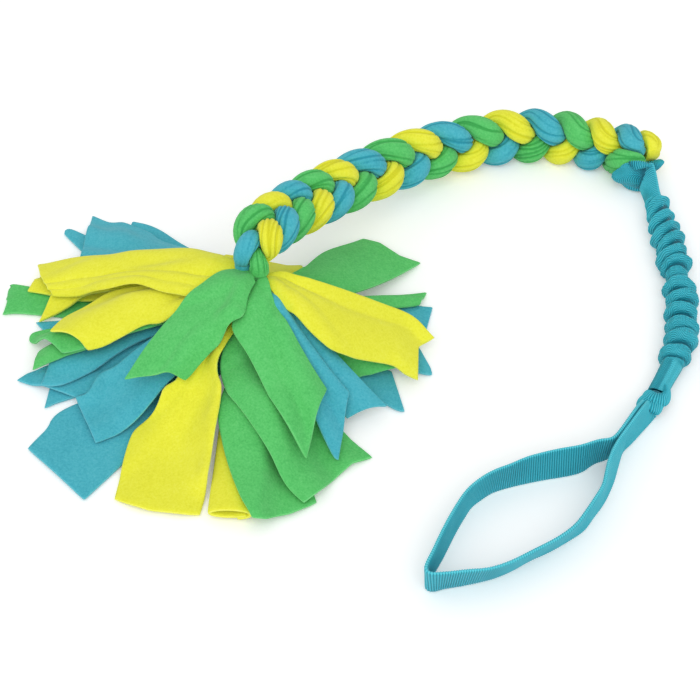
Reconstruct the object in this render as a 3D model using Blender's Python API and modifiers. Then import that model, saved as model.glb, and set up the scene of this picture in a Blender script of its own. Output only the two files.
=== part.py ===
# Fleece tug toy with a plaited body, a bungee in a gathered webbing sleeve and a webbing hand loop.
# It lies on a table: the pom of fleece tails is piled round a bound core at the left, the plait
# rises out of it and comes down to the table behind, and the webbing runs forward on the right.
# Metres, +Z up. The origin is the middle of the toy's footprint, on the table.

import math

import bmesh
import bpy
import numpy as np
from mathutils import Matrix

GAP = 0.0003                 # clearance between pieces that touch

# Fleece tails
STRIP_WIDTH = 0.042
STRIP_THICKNESS = 0.0018
BOUND_WIDTH = 0.0085         # width of a tail where the binding gathers it
GATHER_LENGTH = 0.013        # distance over which it opens out to its full width
PLY_GAP = 0.0007             # air between one tail and the next one down
TAIL_RINGS = 10
SPREAD = 0.45                # how far the bound ends are shared out evenly round the core
LANDING_LENGTH = 0.095       # how far from the core a free tail comes down to the table
HEAD_LOW = 0.004             # height at which the lowest tail leaves the core
HEAD_HIGH = 0.0485           # and the uppermost one

# Bound core of the pom
CORE_RADIUS = 0.0125
CORE_NECK_RADIUS = 0.0045
CORE_SHOULDER = 0.022        # height up to which the core has its full radius
CORE_WAIST = 0.040
CORE_HEIGHT = 0.0545

# Plait
STRAND_RADIUS = 0.0066       # of a strand where nothing presses on it
STRAND_GAP = 0.0012          # between the middles' halfway surface and each strand, twice over
PLAIT_HALF_WIDTH = 0.0078    # from the middle of the plait to the middle of an outer strand
PLAIT_HALF_DEPTH = 0.0058
# Where the blue strand reaches the plait's left edge, measured along the plait
BLUE_TURNS = (-0.0025, 0.0505, 0.1125, 0.1700, 0.2245, 0.2725, 0.3225)
STRAND_STEPS = 96
STRAND_SIDES = 8
PLAIT_NECK_LENGTH = 0.015    # length over which the plait swells from the binding
PLAIT_NECK_SHARE = 0.60      # its size at the binding

# Webbing
WEB_WIDTH = 0.0190
WEB_THICKNESS = 0.0015
RING_FOOT = 0.0010           # the hitched webbing stands this far off the table
RING_HEIGHT = 0.0075
RING_WALL = 0.0030           # two thicknesses of webbing
PIN_RADIUS = 0.0064          # the green fleece where the webbing is hitched round it
RING_RADIUS = PIN_RADIUS + 0.0007
BLUE_END = 0.2810            # place along the plait where the blue strand is tucked in
SLEEVE_RADIUS = 0.0052       # of the gathered tube between its folds
SLEEVE_FOLD = 0.0024         # how far a fold stands out
SLEEVE_WALL = 0.0016
SLEEVE_FOLDS = (6, 6)        # folds in the group beside the plait and in the one by the knot
SLEEVE_SMOOTH = 0.011        # smooth length between the two groups
SLEEVE_END = 0.010           # smooth length at each end
SLEEVE_HEIGHT = SLEEVE_RADIUS + SLEEVE_FOLD
ELASTIC_RADIUS = 0.0022
KNOT_RADII = (0.0085, 0.0075, 0.0066)
KNOT_SHARE = 0.84            # how much of its cage a softened knot fills
KNOT_TURN = 58

BLUE = (0.085, 0.410, 0.560)
GREEN = (0.115, 0.560, 0.140)
YELLOW = (0.800, 0.810, 0.050)
TEAL = (0.030, 0.420, 0.560)

# Routes are measured from the neck of the pom, where every tail is bound
PLAIT_ROUTE = (
    (0.0000, 0.0000, CORE_HEIGHT + GAP),
    (0.0000, 0.0006, 0.0570),
    (0.0010, 0.0070, 0.0615),
    (0.0052, 0.0180, 0.0600),
    (0.0125, 0.0330, 0.0550),
    (0.0290, 0.0580, 0.0455),
    (0.0430, 0.0770, 0.0385),
    (0.0625, 0.0990, 0.0305),
    (0.0840, 0.1200, 0.0225),
    (0.1060, 0.1335, 0.0175),
    (0.1325, 0.1430, 0.0155),
    (0.1610, 0.1425, 0.0145),
    (0.1850, 0.1345, 0.0145),
    (0.2000, 0.1280, 0.0155),
    (0.2052, 0.1190, 0.0178),
)
# How far the plait is rolled over on its side, in degrees, at places along its length
PLAIT_ROLL = ((0.0, 0), (0.04, 12), (0.09, 42), (0.14, 62), (0.20, 76), (0.26, 80), (0.29, 78))
HITCH = (0.1992, 0.1222)     # the fleece end that the webbing is hitched round, from the neck
# Where the green strand turns down into the hitch, and where the yellow one ends beside it: the place
# along the plait where each leaves its pattern, and its route from there
STRAND_ENDS = {
    "green": (0.268, (
        (0.1885, 0.1240, 0.0140),
        (0.1938, 0.1214, 0.0172),
        (HITCH[0] - 0.0008, HITCH[1], 0.0150),
        (*HITCH, RING_FOOT + 0.6 * RING_HEIGHT),
        (*HITCH, RING_FOOT),
    )),
    "yellow": (0.272, (
        (0.2020, 0.1358, 0.0145),
        (0.2058, 0.1305, 0.0182),
        (0.2078, 0.1245, 0.0172),
    )),
}
SLEEVE_ROUTE = (
    (0.2061, 0.0970),
    (0.2086, 0.0820),
    (0.2116, 0.0610),
    (0.2128, 0.0420),
    (0.2135, 0.0255),
    (0.2125, 0.0060),
    (0.2084, -0.0144),
)
KNOT_PLACE = (0.1942, -0.0465)
LOOP_FAR = ((0.1755, -0.0750), (0.1520, -0.0870), (0.1242, -0.0947), (0.1014, -0.1132), (0.0885, -0.1412))
LOOP_CORNER = (0.0812, -0.1625)
LOOP_NEAR = ((0.0972, -0.1610), (0.1266, -0.1500), (0.1531, -0.1295), (0.1677, -0.1050))

# Each tail, from the bottom of the pile to the top: colour, how far its tip lies from the neck, the
# bearing of its tip and its own heading there in degrees, how much further its left edge runs
# than its right one because the end is cut on the slant, its share of the full width that shows
# flat, and how far out it lands.
TAILS = (
    ("green", 0.131, 167, 170, 0.002, 0.60, 0.95),
    ("blue", 0.104, 194, 214, 0.026, 0.80, 0.85),
    ("blue", 0.130, 224, 231, 0.007, 1.00, 0.90),
    ("blue", 0.100, 181, 185, -0.022, 0.80, 0.95),
    ("blue", 0.117, 150, 150, -0.028, 0.85, 0.90),
    ("blue", 0.080, -18, -40, -0.026, 0.90, 0.75),
    ("blue", 0.080, 0, -14, -0.024, 0.90, 0.75),
    ("blue", 0.087, 6, 5, 0.004, 0.80, 0.80),
    ("yellow", 0.119, -95, -93, 0.000, 0.50, 0.90),
    ("green", 0.080, 9, 15, 0.024, 0.90, 0.80),
    ("green", 0.116, -82, -78, -0.004, 0.86, 0.85),
    ("blue", 0.106, 202, 206, -0.024, 0.86, 0.92),
    ("yellow", 0.055, 88, 73, 0.000, 1.00, 0.60),
    ("green", 0.094, 46, 42, -0.014, 0.85, 1.00),
    ("blue", 0.106, 138, 125, -0.014, 0.90, 0.95),
    ("blue", 0.105, 188, 206, 0.020, 0.80, 1.00),
    ("green", 0.104, 181, 204, 0.026, 0.80, 1.00),
    ("green", 0.098, 188, 205, -0.018, 0.80, 1.05),
    ("yellow", 0.118, 158, 165, 0.010, 0.52, 1.10),
    ("green", 0.063, -24, -35, 0.026, 0.90, 0.80),
    ("green", 0.105, -67, -57, -0.009, 1.05, 0.90),
    ("blue", 0.099, 214, 218, 0.008, 0.80, 1.05),
    ("yellow", 0.106, 167, 188, 0.018, 0.74, 1.10),
    ("yellow", 0.121, 248, 254, -0.002, 1.02, 0.95),
    ("blue", 0.116, 144, 135, -0.026, 0.95, 1.15),
    ("blue", 0.070, -54, -36, 0.026, 0.95, 0.90),
    ("yellow", 0.094, 185, 196, -0.018, 0.64, 1.15),
    ("blue", 0.079, -59, -44, -0.022, 0.86, 1.00),
    ("yellow", 0.087, -13, -11, 0.003, 0.84, 1.10),
    ("yellow", 0.115, 161, 166, -0.020, 0.70, 1.45),
    ("green", 0.077, -68, -57, -0.026, 0.68, 1.10),
    ("green", 0.067, 223, 223, -0.020, 0.78, 1.25),
)
# Heights of the folds across a tail, from its right edge to its left one, by its place in the pile
FOLDS = {
    11: (0, 0.002, 0.003, 0.002, 0),
    14: (0, 0.002, 0.003, 0.002, 0),
    21: (0, 0.003, 0.001, 0.003, 0),
    22: (0.004, 0.001, 0, 0.001, 0),
    24: (0, 0.002, 0.0005, 0.002, 0),
    25: (0, 0.003, 0.004, 0.002, 0),
    26: (0, 0.002, 0.003, 0.002, 0),
    27: (0, 0.002, 0.003, 0.002, 0),
    28: (0, 0.003, 0.0035, 0.003, 0),
    29: (0, 0.003, 0.0045, 0.001, 0.003),
    30: (0, 0.003, 0.0045, 0.004, 0),
    31: (0, 0.003, 0.004, 0.003, 0),
    32: (0, 0.003, 0.005, 0.0055, 0.001),
}
ROLLED = 9                   # the tail that is rolled up lengthwise, by its place in the pile
ROLL_HEIGHT = 0.0085
COLOURS = {"blue": BLUE, "green": GREEN, "yellow": YELLOW}


def clear_scene():
    for item in list(bpy.data.objects):
        bpy.data.objects.remove(item, do_unlink=True)


def new_collection(name):
    collection = bpy.data.collections.new(name)
    bpy.context.scene.collection.children.link(collection)
    return collection


def material(name, colour, roughness):
    found = bpy.data.materials.get(name)
    if found:
        return found
    made = bpy.data.materials.new(name)
    made.use_nodes = True
    shader = made.node_tree.nodes["Principled BSDF"]
    shader.inputs["Base Color"].default_value = (*colour, 1.0)
    shader.inputs["Roughness"].default_value = roughness
    shader.inputs["Metallic"].default_value = 0.0
    return made


def add_object(name, data, collection, look, parent):
    item = bpy.data.objects.new(name, data)
    collection.objects.link(item)
    data.materials.append(look)
    item.parent = parent
    item.matrix_parent_inverse = Matrix.Translation(place_of(parent)).inverted()
    return item


def place_of(item):
    """Where an empty stands in the toy's own frame."""
    place = item.location.copy()
    if item.parent:
        place += place_of(item.parent)
    return place


def axis_empty(name, place, collection, parent):
    item = bpy.data.objects.new(name, None)
    collection.objects.link(item)
    item.empty_display_size = 0.02
    item.parent = parent
    item.location = Matrix.Translation(place_of(parent)).inverted() @ Matrix.Translation((*place, 0)).translation
    return item


def smooth_route(points, count):
    """Evenly spaced points on a Catmull-Rom curve through the given ones."""
    points = [np.array(p, float) for p in points]
    ends = [2 * points[0] - points[1]] + points + [2 * points[-1] - points[-2]]
    fine = []
    for i in range(1, len(ends) - 2):
        a, b, c, d = ends[i - 1:i + 3]
        for t in np.linspace(0, 1, 24, endpoint=False):
            fine.append(0.5 * (2 * b + (c - a) * t + (2 * a - 5 * b + 4 * c - d) * t ** 2
                               + (3 * b - a - 3 * c + d) * t ** 3))
    fine.append(ends[-2])
    fine = np.array(fine)
    along = np.concatenate([[0], np.cumsum(np.linalg.norm(np.diff(fine, axis=0), axis=1))])
    at = np.linspace(0, along[-1], count)
    return np.stack([np.interp(at, along, fine[:, k]) for k in range(fine.shape[1])], axis=1), along[-1]


def smoothstep(value):
    value = np.clip(value, 0.0, 1.0)
    return value * value * (3 - 2 * value)


def core_radius_at(height):
    if height <= CORE_SHOULDER:
        return CORE_RADIUS
    share = min(1.0, (height - CORE_SHOULDER) / (CORE_WAIST - CORE_SHOULDER))
    return CORE_RADIUS + (CORE_NECK_RADIUS - CORE_RADIUS) * share


# The pile of tails. Its upper side is kept as a grid of heights round the neck, and each new tail is
# lifted just enough to lie on what is already there.

CELL = 0.0011
HALF_SPAN = 0.165
CELLS = int(2 * HALF_SPAN / CELL) + 1


class Pile:
    def __init__(self):
        self.top = np.zeros((CELLS, CELLS))
        side = np.linspace(-HALF_SPAN, HALF_SPAN, CELLS)
        x, y = np.meshgrid(side, side, indexing="ij")
        radius = np.hypot(x, y)
        slope = (CORE_WAIST - CORE_SHOULDER) / (CORE_RADIUS - CORE_NECK_RADIUS)
        cone = CORE_SHOULDER + (CORE_RADIUS - radius) * slope
        self.top = np.where(radius < CORE_RADIUS - CELL, np.clip(cone + 0.0015, 0, CORE_WAIST), 0.0)

    def index(self, x, y):
        i = np.clip(np.rint((x + HALF_SPAN) / CELL).astype(int), 0, CELLS - 1)
        j = np.clip(np.rint((y + HALF_SPAN) / CELL).astype(int), 0, CELLS - 1)
        return i, j

    def height(self, x, y):
        i, j = self.index(np.asarray(x), np.asarray(y))
        return self.top[i, j]

    def add(self, x, y, z):
        i, j = self.index(x.ravel(), y.ravel())
        z = z.ravel()
        for di in (-1, 0, 1):
            for dj in (-1, 0, 1):
                a = np.clip(i + di, 0, CELLS - 1)
                b = np.clip(j + dj, 0, CELLS - 1)
                np.maximum.at(self.top, (a, b), z)


def tail_plan(distance, bearing, heading, slant, share, start_bearing, start_radius):
    """Plan places of a tail's two edges: rings from the core outward, five places across."""
    bearing, heading, start_bearing = (math.radians(v) for v in (bearing, heading, start_bearing))
    tip = np.array([math.cos(bearing), math.sin(bearing)]) * distance
    out = np.array([math.cos(start_bearing), math.sin(start_bearing)])
    aim = np.array([math.cos(heading), math.sin(heading)])
    start = out * start_radius
    pull = np.linalg.norm(tip - start) / 3
    p0, p1, p2, p3 = start, start + out * pull, tip - aim * pull, tip
    count = 200
    u = np.linspace(0, 1, count)[:, None]
    line = (1 - u) ** 3 * p0 + 3 * (1 - u) ** 2 * u * p1 + 3 * (1 - u) * u ** 2 * p2 + u ** 3 * p3
    beyond = tip + aim * np.linspace(0.001, abs(slant) / 2 + 0.002, 30)[:, None]
    line = np.concatenate([line, beyond])
    along = np.concatenate([[0], np.cumsum(np.linalg.norm(np.diff(line, axis=0), axis=1))])
    length = along[count - 1]
    tangent = np.gradient(line, axis=0)
    tangent /= np.linalg.norm(tangent, axis=1)[:, None]
    left = np.stack([-tangent[:, 1], tangent[:, 0]], axis=1)

    def place(rows, cols):
        """rows run 0..1 from the core to the end cut, cols run -1..1 from right to left."""
        s = length * rows + cols * slant / 2 * rows ** 1.5
        half = BOUND_WIDTH / 2 + (STRIP_WIDTH * share - BOUND_WIDTH) / 2 * smoothstep(
            length * rows / (2.2 * GATHER_LENGTH) + 0.04)
        cx = np.interp(s, along, line[:, 0]) + np.interp(s, along, left[:, 0]) * half * cols
        cy = np.interp(s, along, line[:, 1]) + np.interp(s, along, left[:, 1]) * half * cols
        return cx, cy

    return place, length


def lay_tail(pile, spec, rank, start_bearing):
    """Node places of one tail's underside, laid on the pile."""
    colour, distance, bearing, heading, slant, share, landing = spec
    rise = HEAD_LOW + (HEAD_HIGH - HEAD_LOW) * rank / (len(TAILS) - 1)
    start_radius = core_radius_at(rise) + GAP
    place, length = tail_plan(distance, bearing, heading, slant, share, start_bearing, start_radius)
    rows = (np.arange(TAIL_RINGS) / (TAIL_RINGS - 1)) ** 1.25
    folds = FOLDS.get(rank + 1, (0, 0, 0))
    across = len(folds)
    cols = np.linspace(-1, 1, across)
    node_r, node_c = np.meshgrid(rows, cols, indexing="ij")
    x, y = place(node_r, node_c)
    free = rise * (1 - smoothstep(node_r * length / (LANDING_LENGTH * landing)))
    depth = smoothstep(node_r * 4) * (1 - 0.45 * node_r)
    z = free + depth * np.array(folds)
    # Samples over every cell of the tail, each with its three nodes and their weights.
    share_steps = int(max(8, STRIP_WIDTH / (across - 1) / CELL))
    u = (np.arange(share_steps) + 0.5) / share_steps
    corner, weight = [], []
    for i in range(TAIL_RINGS - 1):
        for j in range(across - 1):
            a, b, c, d = ((i, j), (i + 1, j), (i + 1, j + 1), (i, j + 1))
            for s in u:
                for t in u:
                    if s >= t:
                        trio, w = (a, b, c), (1 - s, s - t, t)
                    else:
                        trio, w = (a, c, d), (1 - t, s, t - s)
                    corner.append([p[0] * across + p[1] for p in trio])
                    weight.append(w)
    corner, weight = np.array(corner), np.array(weight)
    sx = (x.ravel()[corner] * weight).sum(1)
    sy = (y.ravel()[corner] * weight).sum(1)
    need = pile.height(sx, sy)
    need = np.where(need > 0, need + PLY_GAP, 0.0)
    flat = z.ravel()
    total = (weight ** 2).sum(1)
    for _ in range(140):
        short = need - (flat[corner] * weight).sum(1)
        low = short > 2e-5
        if not low.any():
            break
        lift = np.zeros_like(flat)
        for k in range(3):
            np.maximum.at(lift, corner[low, k], 0.6 * short[low] * weight[low, k] / total[low])
        flat = flat + lift
    flat = flat + max(0.0, float((need - (flat[corner] * weight).sum(1)).max())) * (flat > 0)
    # Settle: every place sinks as far as the cloth round it allows, but not below its free curve.
    lowest = z.ravel()
    for step in range(40):
        spare = (flat[corner] * weight).sum(1) - need
        room = np.full(len(flat), 1.0)
        for k in range(3):
            touched = weight[:, k] > 0.02
            np.minimum.at(room, corner[touched, k], spare[touched])
        flat = np.maximum(np.minimum(flat, lowest), flat - np.maximum(room, 0.0))
    z = flat.reshape(x.shape)
    # A tail that was lifted starts further up the core's slope, so its bound end follows that inward.
    inward = core_radius_at(z[0].mean()) + GAP - start_radius
    x[0] += inward * math.cos(math.radians(start_bearing))
    y[0] += inward * math.sin(math.radians(start_bearing))
    sx = (x.ravel()[corner] * weight).sum(1)
    sy = (y.ravel()[corner] * weight).sum(1)
    # The upper side stands off by the cloth's thickness, more where it slopes.
    sz = (flat[corner] * weight).sum(1)
    run_x = np.gradient(x, axis=0)
    run_y = np.gradient(y, axis=0)
    run_z = np.gradient(z, axis=0)
    steep = np.abs(run_z) / np.maximum(np.hypot(run_x, run_y), 1e-6)
    upright = STRIP_THICKNESS * np.sqrt(1 + np.minimum(steep, 1.5) ** 2)
    if rank + 1 == ROLLED:
        upright = np.maximum(upright, ROLL_HEIGHT * smoothstep(node_r * 1.8))
    pile.add(sx, sy, sz + (upright.ravel()[corner] * weight).sum(1))
    return x, y, z, upright


def loft(name, rings, collection, look, parent):
    """One closed solid through rings with the same number of places, its two ends capped."""
    mesh = bpy.data.meshes.new(name)
    shape = bmesh.new()
    loops = [[shape.verts.new(p) for p in ring] for ring in rings]
    count = len(rings[0])
    for a, b in zip(loops, loops[1:]):
        for k in range(count):
            n = (k + 1) % count
            shape.faces.new((a[k], a[n], b[n], b[k]))
    shape.faces.new(loops[0][::-1])
    shape.faces.new(loops[-1])
    bmesh.ops.recalc_face_normals(shape, faces=shape.faces)
    bmesh.ops.triangulate(shape, faces=[f for f in shape.faces if len(f.verts) > 4])
    shape.to_mesh(mesh)
    shape.free()
    return add_object(name, mesh, collection, look, parent)


def build_tails(collection, parent, pile):
    order = sorted(range(len(TAILS)), key=lambda i: TAILS[i][2] % 360)
    even = {}
    for place, i in enumerate(order):
        even[i] = 360.0 * (place + 0.5) / len(TAILS)
    for rank, spec in enumerate(TAILS):
        bearing = spec[2]
        turn = (even[rank] - bearing + 180) % 360 - 180
        start_bearing = bearing + SPREAD * turn
        x, y, z, upright = lay_tail(pile, spec, rank, start_bearing)
        look = material("fleece_" + spec[0], COLOURS[spec[0]], 0.95)
        name = "tail_%02d_%s" % (rank + 1, spec[0])
        if rank + 1 == ROLLED:
            build_roll(name, x, y, z, upright, collection, look, parent)
            continue
        rings = []
        for i in range(x.shape[0]):
            lower = [(x[i, j], y[i, j], z[i, j]) for j in range(x.shape[1])]
            upper = [(x[i, j], y[i, j], z[i, j] + upright[i, j]) for j in reversed(range(x.shape[1]))]
            rings.append(lower + upper)
        loft(name, rings, collection, look, parent)


def build_roll(name, x, y, z, upright, collection, look, parent):
    """A tail rolled up into a flattened tube: an outer skin, and a bore that ends where it is flat."""
    sides = 12
    outer, inner = [], []
    for i in range(x.shape[0]):
        middle = np.array([x[i, 1], y[i, 1], 0])
        half = np.array([x[i, 2] - x[i, 0], y[i, 2] - y[i, 0], 0]) / 2
        tall = upright[i].mean() / 2
        base = z[i].mean()
        wide = np.linalg.norm(half)
        for ring, wall in ((outer, 0.0), (inner, STRIP_THICKNESS)):
            if wall and tall < wall + 0.001:
                continue
            turns = [2 * math.pi * (k + 0.5) / sides for k in range(sides)]
            ring.append([tuple(middle + half * (1 - wall / wide) * math.cos(t)
                               + np.array([0, 0, base + tall + (tall - wall) * math.sin(t)])) for t in turns])
    mesh = bpy.data.meshes.new(name)
    shape = bmesh.new()
    skins = [[[shape.verts.new(p) for p in ring] for ring in rings] for rings in (outer, inner)]
    for skin in skins:
        for a, b in zip(skin, skin[1:]):
            for k in range(sides):
                n = (k + 1) % sides
                shape.faces.new((a[k], a[n], b[n], b[k]))
    for k in range(sides):
        n = (k + 1) % sides
        shape.faces.new((skins[0][-1][k], skins[0][-1][n], skins[1][-1][n], skins[1][-1][k]))
    shape.faces.new(skins[0][0])
    shape.faces.new(skins[1][0])
    bmesh.ops.recalc_face_normals(shape, faces=shape.faces)
    bmesh.ops.triangulate(shape, faces=[f for f in shape.faces if len(f.verts) > 4])
    shape.to_mesh(mesh)
    shape.free()
    add_object(name, mesh, collection, look, parent)


def turned(name, profile, steps, collection, look, parent, place):
    """A closed outline of (radius, height) turned about a vertical axis."""
    mesh = bpy.data.meshes.new(name)
    shape = bmesh.new()
    corners = [shape.verts.new((r, 0, h)) for r, h in profile]
    edges = [shape.edges.new((a, b)) for a, b in zip(corners, corners[1:])]
    if profile[0][0] > 0:
        edges.append(shape.edges.new((corners[-1], corners[0])))
    bmesh.ops.spin(shape, geom=corners + edges, axis=(0, 0, 1), cent=(0, 0, 0), steps=steps,
                   angle=2 * math.pi, use_merge=True)
    bmesh.ops.remove_doubles(shape, verts=shape.verts, dist=1e-5)
    bmesh.ops.recalc_face_normals(shape, faces=shape.faces)
    shape.to_mesh(mesh)
    shape.free()
    item = add_object(name, mesh, collection, look, parent)
    item.location = (*place, 0)
    return item


def build_core(collection, parent):
    profile = (
        (0, CORE_HEIGHT),
        (CORE_NECK_RADIUS, CORE_HEIGHT),
        (CORE_NECK_RADIUS, CORE_WAIST),
        (CORE_RADIUS, CORE_SHOULDER),
        (CORE_RADIUS, 0),
        (0, 0),
    )
    look = material("fleece_core", GREEN, 0.95)
    return turned("bound_core", profile, 20, collection, look, parent, (0, 0))


def tube(name, points, radii, sides, collection, look, parent):
    """A filled tube as a curve, its radius given at each point."""
    curve = bpy.data.curves.new(name, "CURVE")
    curve.dimensions = "3D"
    curve.bevel_depth = 1.0
    curve.bevel_resolution = sides
    curve.use_fill_caps = True
    curve.twist_mode = "MINIMUM"
    spline = curve.splines.new("POLY")
    spline.points.add(len(points) - 1)
    for point, p, r in zip(spline.points, points, radii):
        point.co = (*p, 1)
        point.radius = r
    return add_object(name, curve, collection, look, parent)


def plait_line():
    """The plait's middle line, its direction, its sideways direction and its swelling."""
    route, length = smooth_route(PLAIT_ROUTE, 260)
    along = np.linspace(0, length, len(route))
    tangent = np.gradient(route, axis=0)
    tangent /= np.linalg.norm(tangent, axis=1)[:, None]
    flat = tangent[:, :2] / np.maximum(np.linalg.norm(tangent[:, :2], axis=1), 1e-9)[:, None]
    upright = np.linalg.norm(tangent[:, :2], axis=1) < 0.5
    flat[upright] = flat[~upright][0]
    side = np.stack([-flat[:, 1], flat[:, 0], np.zeros(len(flat))], axis=1)
    up = np.cross(tangent, side)
    places, angles = zip(*PLAIT_ROLL)
    roll = np.radians(np.interp(along, places, angles))[:, None]
    side, up = side * np.cos(roll) + up * np.sin(roll), up * np.cos(roll) - side * np.sin(roll)
    swell = smoothstep(along / PLAIT_NECK_LENGTH)
    return route, along, side, up, swell


def bend_of(line):
    """Curvature vector of a line of points."""
    step = np.linalg.norm(np.gradient(line, axis=0), axis=1)[:, None]
    tangent = np.gradient(line, axis=0) / step
    return np.gradient(tangent, axis=0) / step


def pressed_sections(middle, radius, others, side, sides):
    """Rings round a strand's middle line, held back where a neighbour's middle line is near."""
    tangent = np.gradient(middle, axis=0)
    tangent /= np.linalg.norm(tangent, axis=1)[:, None]
    tangent[0] = (0, 0, 1)
    across = side - tangent * (side * tangent).sum(1)[:, None]
    across /= np.linalg.norm(across, axis=1)[:, None]
    over = np.cross(tangent, across)
    bend = bend_of(middle)
    pick = np.linspace(0, len(middle) - 1, STRAND_STEPS).round().astype(int)
    # The bound ends stand flat on the core.
    foot = np.where(np.hypot(middle[:, 0], middle[:, 1]) < 2 * CORE_NECK_RADIUS, CORE_HEIGHT + GAP, 0)
    rings = []
    for k in pick:
        ring = []
        near = others[np.linalg.norm(others - middle[k], axis=1) < 4 * STRAND_RADIUS]
        for n in range(sides):
            turn = 2 * math.pi * (n + 0.5) / sides
            way = across[k] * math.cos(turn) + over[k] * math.sin(turn)
            low, high = 0.0, radius[k]
            inward = float(np.dot(bend[k], way))
            if inward > 0:
                high = min(high, 0.75 / inward)
            for _ in range(12):
                reach = (low + high) / 2 if _ else high
                spot = middle[k] + way * reach
                apart = np.linalg.norm(near - spot, axis=1).min() if len(near) else 1.0
                clear = k == 0 or spot[2] > foot[k]
                if apart - reach >= STRAND_GAP and clear and not in_hitch(spot):
                    low = reach
                    if not _:
                        break
                else:
                    high = reach
            ring.append(tuple(middle[k] + way * low))
        rings.append(ring)
    rings[0] = [(x, y, CORE_HEIGHT + GAP) for x, y, z in rings[0]]
    return rings


def in_hitch(spot):
    """Whether a place is taken by the webbing that is hitched round the green strand."""
    out = math.hypot(spot[0] - HITCH[0], spot[1] - HITCH[1])
    beside = RING_RADIUS - GAP < out < RING_RADIUS + RING_WALL + 8 * GAP
    return beside and spot[2] < RING_FOOT + RING_HEIGHT + 4 * GAP


def smooth_turns(along):
    """Turns of the plait's pattern at places along it, from where the blue strand turns."""
    marks = np.array(BLUE_TURNS)
    count = np.arange(len(marks))
    rate = np.gradient(count, marks)
    fine = np.linspace(marks[0], marks[-1], 400)
    speed = np.interp(fine, marks, rate)
    total = np.concatenate([[0], np.cumsum((speed[1:] + speed[:-1]) / 2 * np.diff(fine))])
    total *= count[-1] / total[-1]
    return np.interp(along, fine, total)


def plait_strands():
    """Middle line, radius and sideways direction of each strand."""
    route, along, side, up, swell = plait_line()
    scale = PLAIT_NECK_SHARE + (1 - PLAIT_NECK_SHARE) * swell
    turns = smooth_turns(along)
    strands = {}
    for name, turn in (("blue", 0), ("green", -120), ("yellow", -240)):
        phase = np.radians(90 + turn) + 2 * math.pi * turns
        wide = PLAIT_HALF_WIDTH * np.sin(phase) * scale
        deep = -PLAIT_HALF_DEPTH * np.sin(2 * phase) * scale
        middle = route + side * wide[:, None] + up * deep[:, None]
        radius = STRAND_RADIUS * scale
        sideways = side
        if name in STRAND_ENDS:
            leave, points = STRAND_ENDS[name]
            keep = along < leave
            end, run = smooth_route([middle[keep][-8], middle[keep][-1], *points], 60)
            end = end[np.linalg.norm(end - middle[keep][-8], axis=1) > np.linalg.norm(
                middle[keep][-1] - middle[keep][-8])]
            middle = np.concatenate([middle[keep], end])
            share = np.linspace(0, 1, len(end))
            if name == "green":
                last = STRAND_RADIUS + (PIN_RADIUS - STRAND_RADIUS) * smoothstep(share * 1.6)
            else:
                last = STRAND_RADIUS * (0.6 + 0.4 * smoothstep((1 - share) * 2.5))
            radius = np.concatenate([radius[keep], last])
            sideways = np.concatenate([side[keep], np.repeat(side[keep][-1:], len(end), axis=0)])
        else:
            keep = along < BLUE_END
            middle, radius, sideways = middle[keep], radius[keep].copy(), side[keep]
            radius = radius * (0.55 + 0.45 * smoothstep((BLUE_END - along[keep]) / 0.007))
        strands[name] = (middle, radius, sideways)
    return strands


def build_plait(collection, parent):
    strands = plait_strands()
    for name, (middle, radius, sideways) in strands.items():
        others = np.concatenate([v[0] for k, v in strands.items() if k != name])
        rings = pressed_sections(middle, radius, others, sideways, STRAND_SIDES)
        look = material("fleece_" + name, COLOURS[name], 0.95)
        loft("strand_" + name, rings, collection, look, parent)


def frame_along(line):
    """Direction, horizontal left and up for each point of a line that runs roughly level."""
    tangent = np.gradient(line, axis=0)
    tangent /= np.linalg.norm(tangent, axis=1)[:, None]
    left = np.cross(np.array([0, 0, 1.0]), tangent)
    left /= np.linalg.norm(left, axis=1)[:, None]
    return tangent, left, np.cross(tangent, left)


def build_hitch(collection, parent):
    look = material("webbing", TEAL, 0.75)
    outer = RING_RADIUS + RING_WALL
    profile = (
        (RING_RADIUS, RING_FOOT),
        (outer, RING_FOOT),
        (outer, RING_FOOT + RING_HEIGHT),
        (RING_RADIUS, RING_FOOT + RING_HEIGHT),
    )
    turned("hitch_loop", profile, 20, collection, look, parent, HITCH)
    route, tangent, left, up, length = sleeve_line()
    toward = np.array(SLEEVE_ROUTE[0]) - np.array(HITCH)
    toward /= np.linalg.norm(toward)
    across = np.array([-toward[1], toward[0], 0])
    begin = np.array([*(np.array(HITCH) + toward * (outer + GAP)), 0])
    finish = route[0] - tangent[0] * GAP
    finish[2] = 0
    rings = []
    for t, half, low, high in ((0, RING_WALL, RING_FOOT, RING_FOOT + RING_HEIGHT),
                               (0.45, 0.0034, 0.0016, 0.0118),
                               (1, 0.0042, SLEEVE_HEIGHT - 0.0045, SLEEVE_HEIGHT + 0.0045)):
        spot = begin + (finish - begin) * t
        aside = (across * (1 - t) + left[0] * t) * half
        a, b = spot - aside, spot + aside
        rings.append([(a[0], a[1], low), (b[0], b[1], low), (b[0], b[1], high), (a[0], a[1], high)])
    loft("hitch_neck", rings, collection, look, parent)


def sleeve_line():
    """Middle line of the gathered sleeve, from the hitch's neck to its seat at the knot."""
    last, knot = np.array(SLEEVE_ROUTE[-1]), np.array(KNOT_PLACE)
    seat = knot + (last - knot) / np.linalg.norm(last - knot) * (KNOT_RADII[0] + GAP)
    points = [(x, y, SLEEVE_HEIGHT) for x, y in (*SLEEVE_ROUTE, seat)]
    route, length = smooth_route(points, 200)
    return (route, *frame_along(route), length)


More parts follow.
